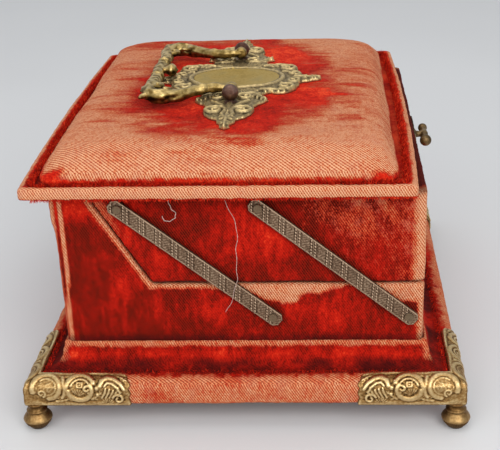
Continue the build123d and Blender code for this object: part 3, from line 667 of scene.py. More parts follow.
def lid_velvet():
    mesh, p, n = covered(("lid_board",), 1.1, 2)
    z = p[:, 2]
    inset = lid_inset(p)
    rag = noise(p, 2.5, 2)
    at_front = smooth(-66, -70, p[:, 1])
    wear = smooth(3.2, 1.8, inset + 0.5 * rag) * smooth(109.6, 110.4, z + 0.35 * rag)
    wear *= 1 - 0.22 * smooth(0.3, 0.9, cloudy(p, (16, 16, 10), 51))
    nap_and_painted_light = patches(p, 32) + 0.35 + 0.35 * at_front
    # painted shade, patchy, in the groove round the pad, lighter at the front; painted shade under the hem
    dirt_and_shade = smooth(2.6, 3.8, inset + 0.4 * noise(p, 8, 3)) * smooth(112.5, 113.0, z)
    dirt_and_shade *= 0.35 + 0.65 * smooth(-0.3, 0.5, noise(p, (16, 12, 9), 4))
    dirt_and_shade *= 1 - 0.55 * at_front
    dirt_and_shade = np.maximum(dirt_and_shade, 0.4 * smooth(109.7, 109.3, z))
    lift = 0.14 * noise(p, 1.5, 6) + 0.2 * cloudy(p, 14, 29)
    dress("lid_velvet", mesh, p + n * lift[:, None], "lid", wear, nap_and_painted_light, dirt_and_shade, ("lid_board",))


def lid_cushion():
    mesh, p, n = covered(("lid_pad",), 1.25, 6)
    x, y, z = p.T
    inset = lid_inset(p)
    plate = np.hypot(x / PLATE_HALF[0], (y - PLATE_Y) / PLATE_HALF[1])
    streaks = noise(p, (3.2, 14, 9), 3) + 0.6 * noise(p, (1.4, 9, 9), 5)
    near_plate = smooth(1.3, 0.82, plate + 0.2 * streaks + 0.24 * cloudy(p, 17, 6))
    top = smooth(119, 124, z)
    wear = 0.95 - 0.14 * smooth(0.0, 0.8, cloudy(p, 26, 61)) - (0.7 + 0.16 * streaks) * near_plate
    # patches where the pile is left
    red = spots(
        x, y, ((56, 8), (22, 24), 0.4), ((74, 58), (16, 18), 0.5),
        ((-20, 52), (34, 12), 0.45), ((0, -52), (30, 12), 0.3),
    )
    red += 0.26 * smooth(0.0, 0.7, cloudy(p, (9, 30, 14), 64))
    wear -= red * top * np.clip(0.6 + 0.8 * streaks, 0, 1.4)
    # pile along the foot of the pad
    border = z - 0.1 * (inset - 4) + 0.6 * noise(p, 4, 8) + 0.4 * noise(p, (1.4, 1.4, 6), 18)
    low = smooth(117.6, 115.9, border)
    wear = wear * (1 - low) + (0.28 + 0.34 * noise(p, (1.3, 1.3, 9), 21)) * low
    wear *= 1 - 0.8 * smooth(11.5, 8.0, inset + 1.2 * noise(p, 8, 9)) * smooth(70, 78, y)
    wear *= 1 - 0.75 * smooth(9.0, 6.5, inset + 1.5 * noise(p, 9, 10)) * smooth(-55, -62, y)
    wear -= 0.3 * smooth(0.25, 0.8, noise(p, (3.0, 16, 12), 12)) * smooth(-78, -60, x) * smooth(40, 20, x)
    nap_and_painted_light = patches(p, 42) + 0.45
    # painted shade at the foot of the pad, in the groove
    dirt_and_shade = 0.9 * smooth(115.6, 113.6, z) * (0.5 + 0.5 * noise(p, 13, 14))
    lump = 0.7 * cloudy(p, 30, 71) * smooth(1.0, 1.35, plate)
    gather = 0.25 * noise(p, (2.4, 2.4, 30), 15) * smooth(119, 115, z)
    lift = lump + gather - 0.15 * smooth(0.5, 1, wear) + 0.1 * noise(p, 1.5, 6)
    lift = np.where((z > PAD_TOP - 0.8) & (plate < 1.1), np.minimum(lift, -0.15), lift)
    wear, dirt_and_shade = np.clip(wear, 0, 1), np.clip(dirt_and_shade, 0, 1)
    obj = dress("lid_cushion", mesh, p + n * lift[:, None], "lid", wear, nap_and_painted_light, dirt_and_shade, ("lid_pad",))


case_velvet()
plinth_velvet()
tray_velvet()
lid_velvet()
lid_cushion()


# Satin inside

def quilt(p):
    """Distance from the nearer seam of a diamond quilting, in seam spacings."""
    a = (p[:, 0] + p[:, 1] * 1.3) / 24.0
    b = (p[:, 0] - p[:, 1] * 1.3) / 24.0
    return np.minimum(np.abs(a - np.round(a)), np.abs(b - np.round(b)))


def satin(name, member, body, voxel, seed, ripple=None):
    """Satin piece with a ripple (mean lift, swing, size, seed), or quilted where it has none."""
    mesh = remeshed(name, (member,), voxel)
    relax(mesh, 2)
    p = get_co(mesh)
    dirt_and_shade = 0.35 * cloudy(p, 20, seed) + 0.15
    if ripple:
        mean, swing, size, ripple_seed = ripple
        lift = mean + swing * noise(p, size, ripple_seed)
    else:
        lift = (-0.9 * smooth(0.16, 0.0, quilt(p)) - 0.05) * smooth(109.3, 108.6, p[:, 2])
        # painted shade in the quilting seams
        dirt_and_shade = dirt_and_shade + 0.4 * smooth(0.06, 0.0, quilt(p))
    set_co(mesh, p + get_normals(mesh) * lift[:, None])
    set_field(mesh, "dirt_and_shade", np.clip(dirt_and_shade, 0, 1))
    cloth_uv(mesh)
    obj = place(name, mesh, SATIN, body, (member,))


THIN = 0.55
satin("case_satin", "base_lining", "case", THIN, 3, (-0.1, 0.1, (3, 3, 14), 2))
satin("tray_satin", "tray_lining", "tray", THIN, 4, (-0.1, 0.1, (3, 3, 14), 5))
satin("divider_satin", "tray_divider", "tray", 0.6, 5, (-0.1, 0.08, (4, 4, 4), 7))
satin("ring_rolls", "ring_cushion", "tray", 0.9, 6, (-0.25, 0.3, (7, 2.5, 4), 8))
satin("lid_quilt", "lid_lining", "lid", 0.8, 7)


# Relief drawing: x and y in mm, heights from 0 for the ground to 1 for a crest

def round_ridge(d):
    return np.sqrt(np.clip(1 - d * d, 0, None))


def volute(cx, cy, start_radius, end_radius, start, turns, steps=26):
    t = np.linspace(0, 1, steps)
    r = start_radius + (end_radius - start_radius) * t
    a = math.radians(start) + TAU * turns * t
    return np.stack([cx + r * np.cos(a), cy + r * np.sin(a)], 1)


class Relief:
    """Rounded forms raised over a ground; each call raises one of a given height."""

    def __init__(self, x, y, ground):
        self.x, self.y, self.h = x, y, ground

    def up(self, height):
        self.h = np.maximum(self.h, height)

    def line(self, points, widths, height=1.0):
        """Rounded ridge along points, whose width may change."""
        points = np.asarray(points, float)
        widths = np.broadcast_to(np.asarray(widths, float), len(points))
        low = points.min(0) - widths.max()
        high = points.max(0) + widths.max()
        inside = (self.x > low[0]) & (self.x < high[0]) & (self.y > low[1]) & (self.y < high[1])
        px, py = self.x[inside], self.y[inside]
        best = np.zeros_like(px)
        for a, b, wa, wb in zip(points, points[1:], widths, widths[1:]):
            d = b - a
            t = np.clip(((px - a[0]) * d[0] + (py - a[1]) * d[1]) / max(d @ d, 1e-9), 0, 1)
            gap = np.hypot(px - a[0] - t * d[0], py - a[1] - t * d[1]) / (wa + t * (wb - wa))
            best = np.maximum(best, round_ridge(gap))
        self.h[inside] = np.maximum(self.h[inside], height * best)

    def scroll(self, centre, radii, start, turns, widths, height=1.0):
        points = volute(*centre, *radii, start, turns)
        self.line(points, np.linspace(*widths, len(points)), height)

    def leaf(self, base, heading, length, width, curl=0.0, lobes=4, height=1.0):
        """Acanthus leaf: a curved midrib with pointed lobes on both sides."""
        t = np.linspace(0, 1, 9)
        a = math.radians(heading) + curl * t
        steps = np.stack([np.cos(a[1:]), np.sin(a[1:])], 1) * length / 8
        rib = np.concatenate([[base], np.asarray(base) + np.cumsum(steps, 0)])
        self.line(rib, width * (0.45 - 0.3 * t), 0.9 * height)
        for k in range(lobes):
            s = (k + 0.5) / lobes
            at = rib[int(s * 8)]
            reach = width * 1.5 * (1 - 0.5 * s)
            for side in (-1, 1):
                tip = a[int(s * 8)] + side * 0.85
                end = at + reach * np.array([math.cos(tip), math.sin(tip)])
                widths = [width * 0.42, width * 0.34, width * 0.1]
                self.line([at, (at + end) / 2, end], widths, (0.75 - 0.1 * s) * height)

    def fan(self, centre, radii, angles, ribs, height):
        """Shell: ribs that spread from a centre between two angles in degrees."""
        dx, dy = self.x - centre[0], self.y - centre[1]
        r = np.hypot(dx, dy)
        span = (np.degrees(np.arctan2(dy, dx)) - angles[0]) / (angles[1] - angles[0])
        inside = (span > 0) & (span < 1) & (r > radii[0]) & (r < radii[1])
        rib = 0.35 + 0.55 * np.abs(np.sin(span * ribs * math.pi))
        self.up(height * np.where(inside, rib * np.clip((radii[1] - r) / 1.2, 0, 1) ** 0.5, 0))

    def dot(self, at, radius, height):
        self.up(height * round_ridge(np.hypot(self.x - at[0], self.y - at[1]) / radius))


def hollows(h, reach=3):
    """How far each place of a relief grid stands above the mean round it, for tarnish in its hollows."""
    width = 2 * reach + 1
    mean = h
    for axis, count in enumerate(h.shape):
        first, last = np.take(mean, [0], axis), np.take(mean, [-1], axis)
        grown = np.concatenate([np.repeat(first, reach + 1, axis), mean, np.repeat(last, reach, axis)], axis)
        total = np.cumsum(grown, axis)
        upper = np.take(total, range(width, width + count), axis)
        mean = (upper - np.take(total, range(count), axis)) / width
    return np.clip(0.38 + 1.5 * (h - mean) + 0.22 * h, 0, 1)


def with_back(level, back):
    """Relief field of a slab: its front's values, then one value for its back."""
    return np.concatenate([level.ravel(), back * np.ones(level.size)])


# Stamped corner mounts over the plinth's band and its rounded shoulder

REACH, BAND_LOW, BAND_MID, BAND_TOP, SHOULDER = 17.0, 13.0, 20.5, 25.0, 6.5
MOUNT_LEG, MOUNT_SKIN, MOUNT_TIP = 46.6, 0.9, 7.0


def mount_relief(a, b):
    """Rococo relief on a leg: a is the distance from the corner, b the distance up the band."""
    grain = noise(np.stack([a, b, 0 * a], 1), 0.55, 3)
    lip = 2.4 + 2.2 * smooth(9, 0, a) + 0.5 * np.sin(a / 2.2)
    ground = np.where(b < lip, 0.62 * round_ridge((b - lip / 2) / (lip / 2 + 0.3)), 0.3 + 0.07 * grain)
    r = Relief(a, b, ground)
    r.up(0.6 * round_ridge((a - 1.2) / 1.9))
    r.up(0.8 * round_ridge((b - 16.6 - 0.5 * np.sin(a / 4.0)) / 1.2))
    # round cartouche at the corner
    dish = np.hypot((a - 10.4) / 5.4, (b - 9.6) / 5.2)
    r.h = np.where(dish < 1, 0.34 + 0.4 * np.clip(1 - dish, 0, 1) + 0.06 * grain, r.h)
    r.scroll((10.4, 9.6), (6.6, 5.7), 200, -0.78, (1.5, 1.5))
    r.scroll((10.4, 9.6), (4.5, 4.0), 130, -0.6, (0.6, 0.8), 0.75)
    r.scroll((8.0, 6.6), (1.9, 0.5), -60, 1.1, (0.8, 0.5), 0.9)
    r.fan((5.6, 5.2), (1.6, 5.6), (-10, 95), 6, 0.7)
    # stem between the cartouches
    r.line([(17.4, 14.4), (18.0, 11.0), (18.9, 8.6), (18.2, 6.0), (17.2, 4.4)], [1.3, 1.2, 1.5, 1.2, 1.0])
    for k in range(5):
        t = math.radians(20 + 35 * k)
        r.dot((17.6 + 2.3 * math.cos(t), 3.6 + 1.6 * math.sin(t)), 0.75, 0.75)
    # open cartouche in the middle
    r.scroll((25.6, 9.4), (6.5, 6.2), 175, -0.42, (1.5, 1.3))
    r.scroll((25.6, 9.4), (4.4, 4.2), 165, -0.4, (0.8, 0.7), 0.8)
    r.scroll((25.8, 8.8), (6.3, 4.6), 190, 0.55, (1.6, 1.2))
    r.scroll((28.6, 8.8), (2.2, 0.7), -70, 1.15, (1.0, 0.7), 0.85)
    r.up(0.68 * round_ridge((np.maximum(np.abs(a - 25.2), np.abs(b - 10.9)) - 1.1) / 0.6))
    r.dot((25.2, 10.9), 0.6, 0.85)
    r.fan((24.0, 5.0), (1.2, 4.6), (20, 130), 6, 0.65)
    for cx, cy, radius in (
        (33.0, 9.4, 1.3), (31.6, 12.8, 0.8), (33.2, 5.9, 0.9),
        (21.8, 14.6, 0.8), (13.4, 3.9, 0.8), (34.4, 12.6, 0.7),
    ):
        r.dot((cx, cy), radius, 0.95)
    # wing of C scrolls, fluting and leaves towards the tip
    arc = [(34.4, 10.4), (35.2, 13.0), (37.4, 14.4), (40.4, 13.8), (43.4, 11.6), (45.2, 8.6)]
    r.line(arc, [1.3, 1.4, 1.5, 1.4, 1.2, 0.9])
    arc = [(36.4, 10.2), (37.6, 12.0), (39.8, 11.6), (42.2, 9.4), (43.4, 6.6)]
    r.line(arc, [0.7, 0.9, 0.9, 0.8, 0.6], 0.85)
    for k in range(5):
        at = 35.0 + 1.7 * k
        r.line([(at, 4.2), (at + 1.6, 7.0), (at + 2.0, 9.4 - 0.6 * k)], [0.55, 0.75, 0.4], 0.8)
    r.fan((37.6, 1.2), (1.0, 3.6), (10, 170), 7, 0.85)
    r.scroll((42.4, 3.6), (2.6, 0.6), 160, -1.1, (0.8, 0.5))
    r.leaf((13.6, 15.4), -8, 10.0, 2.2, 0.1, 4, 0.85)
    r.leaf((14.6, 2.4), 8, 9.0, 1.9, 0.2, 4, 0.85)
    r.leaf((30.6, 3.6), 25, 6.0, 1.8, 0.4, 3, 0.8)
    r.leaf((40.6, 15.6), -20, 6.0, 1.8, -0.2, 3, 0.8)
    return r.h + 0.1 * grain * (r.h < 0.85)


def mount_leg(pile, reliefs, outward, way, reach, half_run):
    """One leg of a mount: outward is the face's direction, way runs to the corner."""
    rows, columns = 56, 150
    wide, high = SHOULDER + MOUNT_SKIN, BAND_TOP - BAND_MID + MOUNT_SKIN
    upright = BAND_MID - BAND_LOW
    shoulder = 1.01 * (wide + high) * math.pi / 4
    total = upright + shoulder
    b = np.linspace(0, total, rows)
    angle = np.clip((b - upright) / shoulder, 0, 1) * math.pi / 2
    u = np.where(b < upright, REACH + MOUNT_SKIN, REACH - SHOULDER + wide * np.cos(angle))
    z = np.where(b < upright, BAND_LOW + b, BAND_MID + high * np.sin(angle))
    nu, nz = np.cos(angle)[:, None], np.sin(angle)[:, None]
    u, z = u[:, None], z[:, None]
    # the leg's far end is rounded at the top and slightly waved
    over = np.clip((b - (total - MOUNT_TIP)) / MOUNT_TIP, 0, 1)
    far = MOUNT_LEG + MOUNT_SKIN - MOUNT_TIP * (1 - np.sqrt(1 - over ** 2 * 0.96))
    far = (far + 0.35 * np.sin(b * 1.3))[:, None]
    near = REACH + MOUNT_SKIN - u
    along = near + (far - near) * np.linspace(0, 1, columns)[None]
    up = np.repeat(b[:, None], columns, 1)
    h = mount_relief(along.ravel(), up.ravel()).reshape(rows, columns)
    rim = np.minimum((far - along) / 0.9, np.minimum(up / 0.8, (total - up) / 0.8))
    h = h * np.clip(rim, 0, 1) ** 0.5
    front = 0.15 + 0.95 * h - MOUNT_SKIN * 0.4
    back = np.full(h.shape, -(MOUNT_SKIN + 0.1))
    grids = []
    for depth in (front, back):
        out, height = u + nu * depth, z + nz * depth
        along_here = np.maximum(along, REACH + MOUNT_SKIN - out)
        grid = np.asarray(outward) * (reach + out)[..., None]
        grid = grid + np.asarray(way) * (half_run + REACH + MOUNT_SKIN - along_here)[..., None]
        grid[..., 2] += height
        grids.append(grid)
    pile.add(*slab(*grids, flip=np.dot(np.cross(outward, way), (0, 0, 1)) > 0))
    reliefs.append(with_back(hollows(h), 0.2))


for corner, sx, sy in CORNERS:
    pile, reliefs = Pile(), []
    mount_leg(pile, reliefs, (sx, 0, 0), (0, sy, 0), HALF_X, HALF_Y)
    mount_leg(pile, reliefs, (0, sy, 0), (sx, 0, 0), HALF_Y, HALF_X)
    mesh = pile.mesh(f"mount_{corner}")
    set_field(mesh, "relief", np.concatenate(reliefs))
    place(f"mount_{corner}", mesh, MOUNT, "case", (f"corner_mount_{corner}",))


# Turned feet: a knurled ball under a ring and a short neck

FOOT_X, FOOT_Y, FOOT_SIDES = 109.1, 94.6, 180
KNURL_LOW, KNURL_HIGH = 2.4, 4.3
FOOT_PROFILE = (
    (0.4, 0.05), (2.0, 0.0), (3.3, 0.0), (3.9, 0.5), (4.5, 1.3), (5.0, 2.0), (5.15, 2.35), (5.5, 2.45),
    (5.75, 2.8), (6.0, 3.3), (6.2, 3.8), (6.3, 4.2), (6.15, 4.35), (6.45, 4.5), (6.5, 4.8), (6.4, 5.2),
    (6.1, 5.8), (5.7, 6.4), (5.25, 7.0), (4.8, 7.6), (4.45, 8.1), (4.3, 8.5), (4.5, 8.8), (4.65, 9.1),
    (4.5, 9.4), (3.9, 9.7), (3.5, 10.1), (3.35, 10.7), (3.4, 11.2), (3.7, 11.8), (4.1, 12.1),
    (4.35, 12.35), (4.35, 12.8), (4.2, 13.05),
)


def knurl(height, angle):
    return 1 - 0.05 * (1 - np.cos(36 * angle)) * (KNURL_LOW < height < KNURL_HIGH)


verts, faces = turned(FOOT_PROFILE, FOOT_SIDES, knurl)
radii, heights = np.repeat(FOOT_PROFILE, FOOT_SIDES, axis=0).T
foot_relief = np.clip(0.3 + 0.09 * (radii - 2.5) - 0.25 * (heights < KNURL_HIGH), 0, 1)
for corner, sx, sy in CORNERS:
    mesh = mesh_from(f"turned_foot_{corner}", verts + (sx * FOOT_X, sy * FOOT_Y, 0), faces)
    set_field(mesh, "relief", foot_relief)
    place(f"turned_foot_{corner}", mesh, FOOT, "case", (f"foot_{corner}",))


# Embossed arms: pairs of bead rows across the strip, rayed fields between them

ARM_WIDTH, ARM_END, ARM_CLIP, ARM_SKIN, STAND_OFF = 7.0, 4.2, 1.9, 1.3, 1.2
ARM_LENGTH = math.hypot(RUN, RISE)
BEAT = 8.6


def arm_relief(rows=300, columns=24):
    """Places along and across an arm, and the height of its relief there."""
    s = np.linspace(-ARM_END, ARM_LENGTH + ARM_END, rows)
    to_end = np.minimum(s + ARM_END, ARM_LENGTH + ARM_END - s)
    half = ARM_WIDTH / 2 - np.clip(ARM_CLIP - to_end, 0, ARM_CLIP)
    across = half[:, None] * np.linspace(-1, 1, columns)[None]
    along = np.repeat(s[:, None], columns, 1)
    inner = half[:, None] - np.abs(across)
    beat = (along - 0.7 * across) / BEAT
    phase = beat - np.floor(beat)
    row_gap = np.minimum(np.abs(phase - 0.14), np.abs(phase - 0.38)) * BEAT
    bead_gap = np.hypot(row_gap, ((across / 1.15 + 0.5) % 1 - 0.5) * 1.15)
    flat = np.stack([along.ravel(), across.ravel(), np.zeros(along.size)], 1)
    stipple = noise(flat, 0.62, 3).reshape(along.shape)
    rayed = (phase > 0.5) & (phase < 0.96)
    rays = np.abs(np.sin((along + 0.8 * across) * math.pi / 1.5 + 0.8 * stipple)) * rayed
    h = 0.22 + 0.16 * stipple + 0.2 * rays
    h = np.maximum(h, 0.5 * round_ridge(np.abs(phase - 0.26) * BEAT / 0.42))
    h = np.maximum(h, 0.95 * round_ridge(bead_gap / 0.5))
    h = np.maximum(h, 0.5 * round_ridge((inner - 0.5) / 0.42))
    for rivet in (0.0, ARM_LENGTH):
        h = np.where(np.hypot(along - rivet, across) < 2.2, 0.2 + 0.1 * stipple, h)
    h = h * np.clip(inner / 0.25, 0, 1) * np.clip(to_end[:, None] / 0.3, 0, 1)
    return along[..., None], across[..., None], h


def embossed_arms():
    along, across, h = arm_relief()
    axis = np.array([0, RUN, RISE]) / ARM_LENGTH
    side_axis = np.array([0, -RISE, RUN]) / ARM_LENGTH
    for side, way in SIDES:
        for where, pivot_y in PIVOT_Y.items():
            front = np.array([0, pivot_y, PIVOT_Z]) + along * axis + across * side_axis
            back = front.copy()
            front[..., 0] = way * (HALF_X + STAND_OFF + ARM_SKIN - 0.35 + 0.55 * h)
            back[..., 0] = way * (HALF_X + STAND_OFF)
            name = f"embossed_arm_{side}_{where}"
            mesh = mesh_from(name, *slab(front, back, flip=way > 0))
            set_field(mesh, "relief", with_back(hollows(h, 2), 0.3))
            place(name, mesh, ARM, f"arm_{side}_{where}", (f"arm_{side}_{where}",))


embossed_arms()


# Escutcheon: one quarter of its outline, and relief mirrored into four

PLATE_EDGE = (
    (75.0, 0.0), (72.2, 2.6), (69.4, 2.2), (66.0, 4.4), (62.5, 4.6), (59.6, 8.4), (55.0, 10.9),
    (50.0, 11.8), (43.8, 11.4), (40.6, 13.0), (38.4, 15.4), (34.2, 17.9), (33.0, 15.2), (29.0, 13.8),
    (25.4, 14.8), (22.5, 17.2), (24.2, 20.6), (23.4, 24.6), (20.4, 27.8), (17.0, 30.2), (13.6, 30.4),
    (10.5, 31.8), (7.6, 31.2), (5.2, 33.2), (4.6, 36.0), (3.0, 38.4), (2.2, 40.8), (0.0, 42.9),
)
PLAQUE_HALF = (15.5, 21.4)


def inside_edge(x, y):
    """True within the plate's outline, which is given for one quarter."""
    quarter = list(PLATE_EDGE) + [(0.0, 0.0)]
    hit = np.zeros(x.shape, bool)
    for (ax, ay), (bx, by) in zip(quarter, quarter[1:] + quarter[:1]):
        if ay != by:
            hit ^= ((ay > y) != (by > y)) & (x < ax + (y - ay) * (bx - ax) / (by - ay))
    return hit


def plate_field(x, y):
    """Relief within one quarter of the plate, and the distance from the plaque in its radii."""
    oval = np.hypot(x / PLAQUE_HALF[0], y / PLAQUE_HALF[1])
    r = Relief(x, y, 0.28 * np.ones_like(x))
    r.line(PLATE_EDGE, 1.1, 0.5)
    # long ends: scroll, rolling stem and leaves
    r.scroll((51.5, 6.2), (4.8, 1.0), 215, -1.3, (1.5, 0.8), 0.95)
    r.line([(62.0, 1.0), (57.0, 2.4), (51.0, 1.2), (44.0, 3.4), (38.0, 8.6)], [0.9, 1.2, 1.3, 1.3, 0.9], 0.85)
    r.leaf((58.0, 0.0), 0, 17.5, 3.0, 0.0, 5)
    r.leaf((42.0, 0.0), 0, 12.0, 3.4, 0.0, 4, 0.9)
    # round the plaque and towards the short ends
    r.leaf((27.0, 9.4), 46, 13.0, 3.4, -0.25, 4)
    r.scroll((31.5, 7.0), (4.6, 1.0), 150, 1.15, (1.4, 0.8), 0.95)
    r.scroll((15.4, 24.6), (4.9, 1.0), -30, 1.3, (1.5, 0.8), 0.95)
    r.scroll((6.0, 28.0), (3.4, 0.9), 160, -1.1, (1.2, 0.7), 0.85)
    r.leaf((0.0, 29.0), 90, 14.0, 2.8, 0.0, 5)
    r.leaf((20.0, 13.0), 68, 12.0, 2.8, 0.5, 4)
    r.leaf((10.0, 22.5), 62, 9.0, 2.4, -0.3, 3, 0.8)
    r.fan((16.5, 3.0), (4.0, 11.5), (5, 70), 7, 0.7)
    r.up(0.85 * round_ridge((oval - 1.07) / 0.075))
    h = np.where(oval < 1.0, 0.3 + 0.3 * oval ** 2, r.h)
    return np.where(inside_edge(x, y), h, 0), oval


def escutcheon():
    step = 0.42
    gx, gy = np.meshgrid(np.arange(-75.6, 75.7, step), np.arange(-43.68, 43.7, step), indexing="ij")
    flat = np.stack([gx.ravel(), gy.ravel(), np.zeros(gx.size)], 1)
    # the hand-cut outline is not quite even
    wobble = [0.4 * noise(flat, 9, seed) for seed in (77, 78)]
    h, oval = plate_field(np.abs(flat[:, 0] + wobble[0]), np.abs(flat[:, 1] + wobble[1]))
    low = (oval > 1.05) & (h < 0.6) & (h > 0)
    high = (h > 0.6) & (oval > 1)
    h = h + low * 0.12 * noise(flat, 0.9, 5) + high * 0.12 * noise(flat, 1.6, 9)
    h = h.reshape(gx.shape)
    inside = h > 0.04
    cells = inside[:-1, :-1] & inside[1:, :-1] & inside[1:, 1:] & inside[:-1, 1:]
    touching = np.zeros(gx.shape, np.int64)
    for dx, dy in np.ndindex(2, 2):
        touching[dx:touching.shape[0] - 1 + dx, dy:touching.shape[1] - 1 + dy] += cells
    used = touching > 0
    number = np.cumsum(used.ravel()).reshape(gx.shape) - 1
    count = used.sum()
    border = used & (touching < 4)
    top = np.where(border, PAD_TOP + 0.55, PAD_TOP + 0.75 + 2.1 * h)
    upper = np.stack([gx[used], gy[used] + PLATE_Y, top[used]], 1)
    lower = upper.copy()
    lower[:, 2] = PAD_TOP - 0.35
    ci, cj = np.nonzero(cells)
    a, b, c, d = number[ci, cj], number[ci + 1, cj], number[ci + 1, cj + 1], number[ci, cj + 1]
    faces = list(zip(a, b, c, d)) + list(zip(d + count, c + count, b + count, a + count))
    edges = {edge: True for f in zip(a, b, c, d) for edge in zip(f, f[1:] + f[:1])}
    faces += [(j, i, i + count, j + count) for i, j in edges if (j, i) not in edges]
    mesh = mesh_from("escutcheon_relief", np.concatenate([upper, lower]), faces)
    # the stepped outline is eased in plan only
    loose = np.tile(border[used], 2).astype(float)
    z = get_co(mesh)[:, 2]
    relax(mesh, 4, 0.5, loose)
    co = get_co(mesh)
    co[:, 2] = np.where(loose > 0, z, co[:, 2])
    set_co(mesh, co)
    set_field(mesh, "relief", with_back(hollows(h)[used], 0.1))
    place("escutcheon_relief", mesh, PLATE, "lid", ("escutcheon",))
    mesh.materials.append(PLAQUE)
    chosen = np.zeros(len(mesh.polygons), np.int32)
    chosen[:len(ci)] = oval.reshape(gx.shape)[ci, cj] < 1.0
    mesh.polygons.foreach_set("material_index", chosen)


escutcheon()


# Bail handle between its two ball posts

BAIL_Z, BAIL_X, BALL = 134.8, 38.0, 3.9


def ball_shape(height, angle):
    return 1 + 0.01 * np.cos(5 * angle + height)


def ball_posts():
    profile = [(3.6, -5.0), (3.4, -4.6), (2.9, -4.3), (2.3, -4.0), (2.2, -3.85)]
    for a in np.linspace(-1.35, 1.52, 34):
        if BALL * math.sin(a) > -3.75:
            profile.append((BALL * math.cos(a), BALL * math.sin(a)))
    for side, way in SIDES:
        verts, faces = turned(profile, 48, ball_shape)
        verts = verts + (way * BAIL_X, PLATE_Y, BAIL_Z)
        mesh = mesh_from(f"ball_post_{side}", verts, faces)
        set_field(mesh, "relief", 0.5 + 0.25 * noise(verts, 2, 5))
        place(f"ball_post_{side}", mesh, COPPER, "lid", (f"bail_post_{side}",))


def sag(y):
    return 0.9 * math.exp(-((y - 24) / 9) ** 2)


def chased(s, angle):
    """Cross-section of the bail: fluted between its corners and its middle, bark-like elsewhere."""
    from_middle = abs(2 * s - 1)
    leafy = float(smooth(0.14, 0.2, from_middle) * smooth(0.68, 0.6, from_middle))
    flute = np.abs(np.sin(2.5 * angle + 34 * s))
    return 1 + leafy * (0.2 * flute - 0.1) + 0.04 * np.sin(7 * angle - 50 * s) - 0.05 * (from_middle > 0.9)


def fluted(count, depth):
    """Cross-section with even flutes."""
    return lambda s, angle: 1 + depth * np.cos(count * angle)


# Half of the bail's middle line from the middle of its back bar, its radii, and what grows from it
BAIL_LINE = (
    (0, 38.6), (10, 38.0), (20, 37.6), (28, 38.2), (34.5, 38.6), (39.6, 36.4), (41.3, 32.0),
    (40.0, 27.0), (37.2, 22.4), (33.6, 18.2), (31.0, 13.4), (29.8, 8.4), (30.2, 4.0), (31.0, 0.0),
)
BAIL_RADII = (
    (0, 3.0), (0.05, 2.8), (0.10, 2.8), (0.2, 3.1), (0.3, 3.1), (0.38, 3.1), (0.46, 3.3), (0.54, 3.3),
    (0.62, 3.0), (0.7, 2.75), (0.76, 2.5), (0.8, 2.4), (0.83, 2.7), (0.86, 2.2), (0.9, 2.6),
    (0.94, 2.05), (1.0, 2.05),
)
BAIL_EYE = ((29.2, 1.6), (29.4, 2.4), (30.2, 2.9), (31.4, 3.1), (32.6, 2.9), (33.4, 2.4), (33.7, 1.6))
BAIL_THORNS = (
    ((36.0, 39.0), 100, 3.4), ((40.6, 33.6), 20, 3.0), ((41.0, 29.0), -10, 2.4),
    ((30.5, 38.8), 118, 2.6), ((24.0, 38.2), 125, 2.2),
)
BAIL_CURLS = (((30.4, 35.2), 3.9, 75, 1.05, 1.7), ((36.6, 30.0), 3.2, 10, -0.7, 1.4))


def bail_side(pile, way):
    """What grows from one half of the bail: its eye and pin, rings, corner spur, thorns and curls."""

    def at(x, y, z=0.0):
        return way * x, y + PLATE_Y, BAIL_Z + z

    pile.add(*tube([at(x, 0) for x, _ in BAIL_EYE], [size for _, size in BAIL_EYE], 24))
    pile.add(*tube([at(x, 0) for x in (33.0, 34.5, 36.0, 38.0)], 1.1, 14))
    k = np.linspace(-1, 1, 9)
    for x, knob in ((9.8, 3.0), (12.6, 3.3), (15.2, 2.9)):
        ring = [at(x + d, 37.7, 0.1) for d in np.linspace(-1.3, 1.3, 9)]
        pile.add(*tube(ring, knob * np.sqrt(1 - 0.75 * k * k), 24, fluted(8, 0.05)))
    spur = through([at(x, y) for x, y in ((37.6, 35.0), (40.4, 38.2), (42.6, 40.2), (44.8, 41.2))], 8)
    k = np.linspace(0, 1, len(spur))
    pile.add(*tube(spur, 2.3 * (1 - 0.72 * k) + 0.35 * np.sin(k * 9) * (1 - k), 16))
    k = np.linspace(0, 1, 8)
    for (x, y), heading, length in BAIL_THORNS:
        ox, oy = math.cos(math.radians(heading)), math.sin(math.radians(heading))
        thorn = [at(x + ox * d, y + oy * d, 0.7 - 0.1 * d) for d in length * k]
        pile.add(*tube(thorn, 1.7 * (1 - 0.75 * k), 12))
    k = np.linspace(0, 1, 28)
    for centre, radius, start, turns, thick in BAIL_CURLS:
        x, y = volute(*centre, radius, 1.0, start, turns, 28).T
        pile.add(*tube(np.stack(at(x, y, 0.6 + 0.9 * k), 1), np.linspace(thick, 0.8, 28), 14))


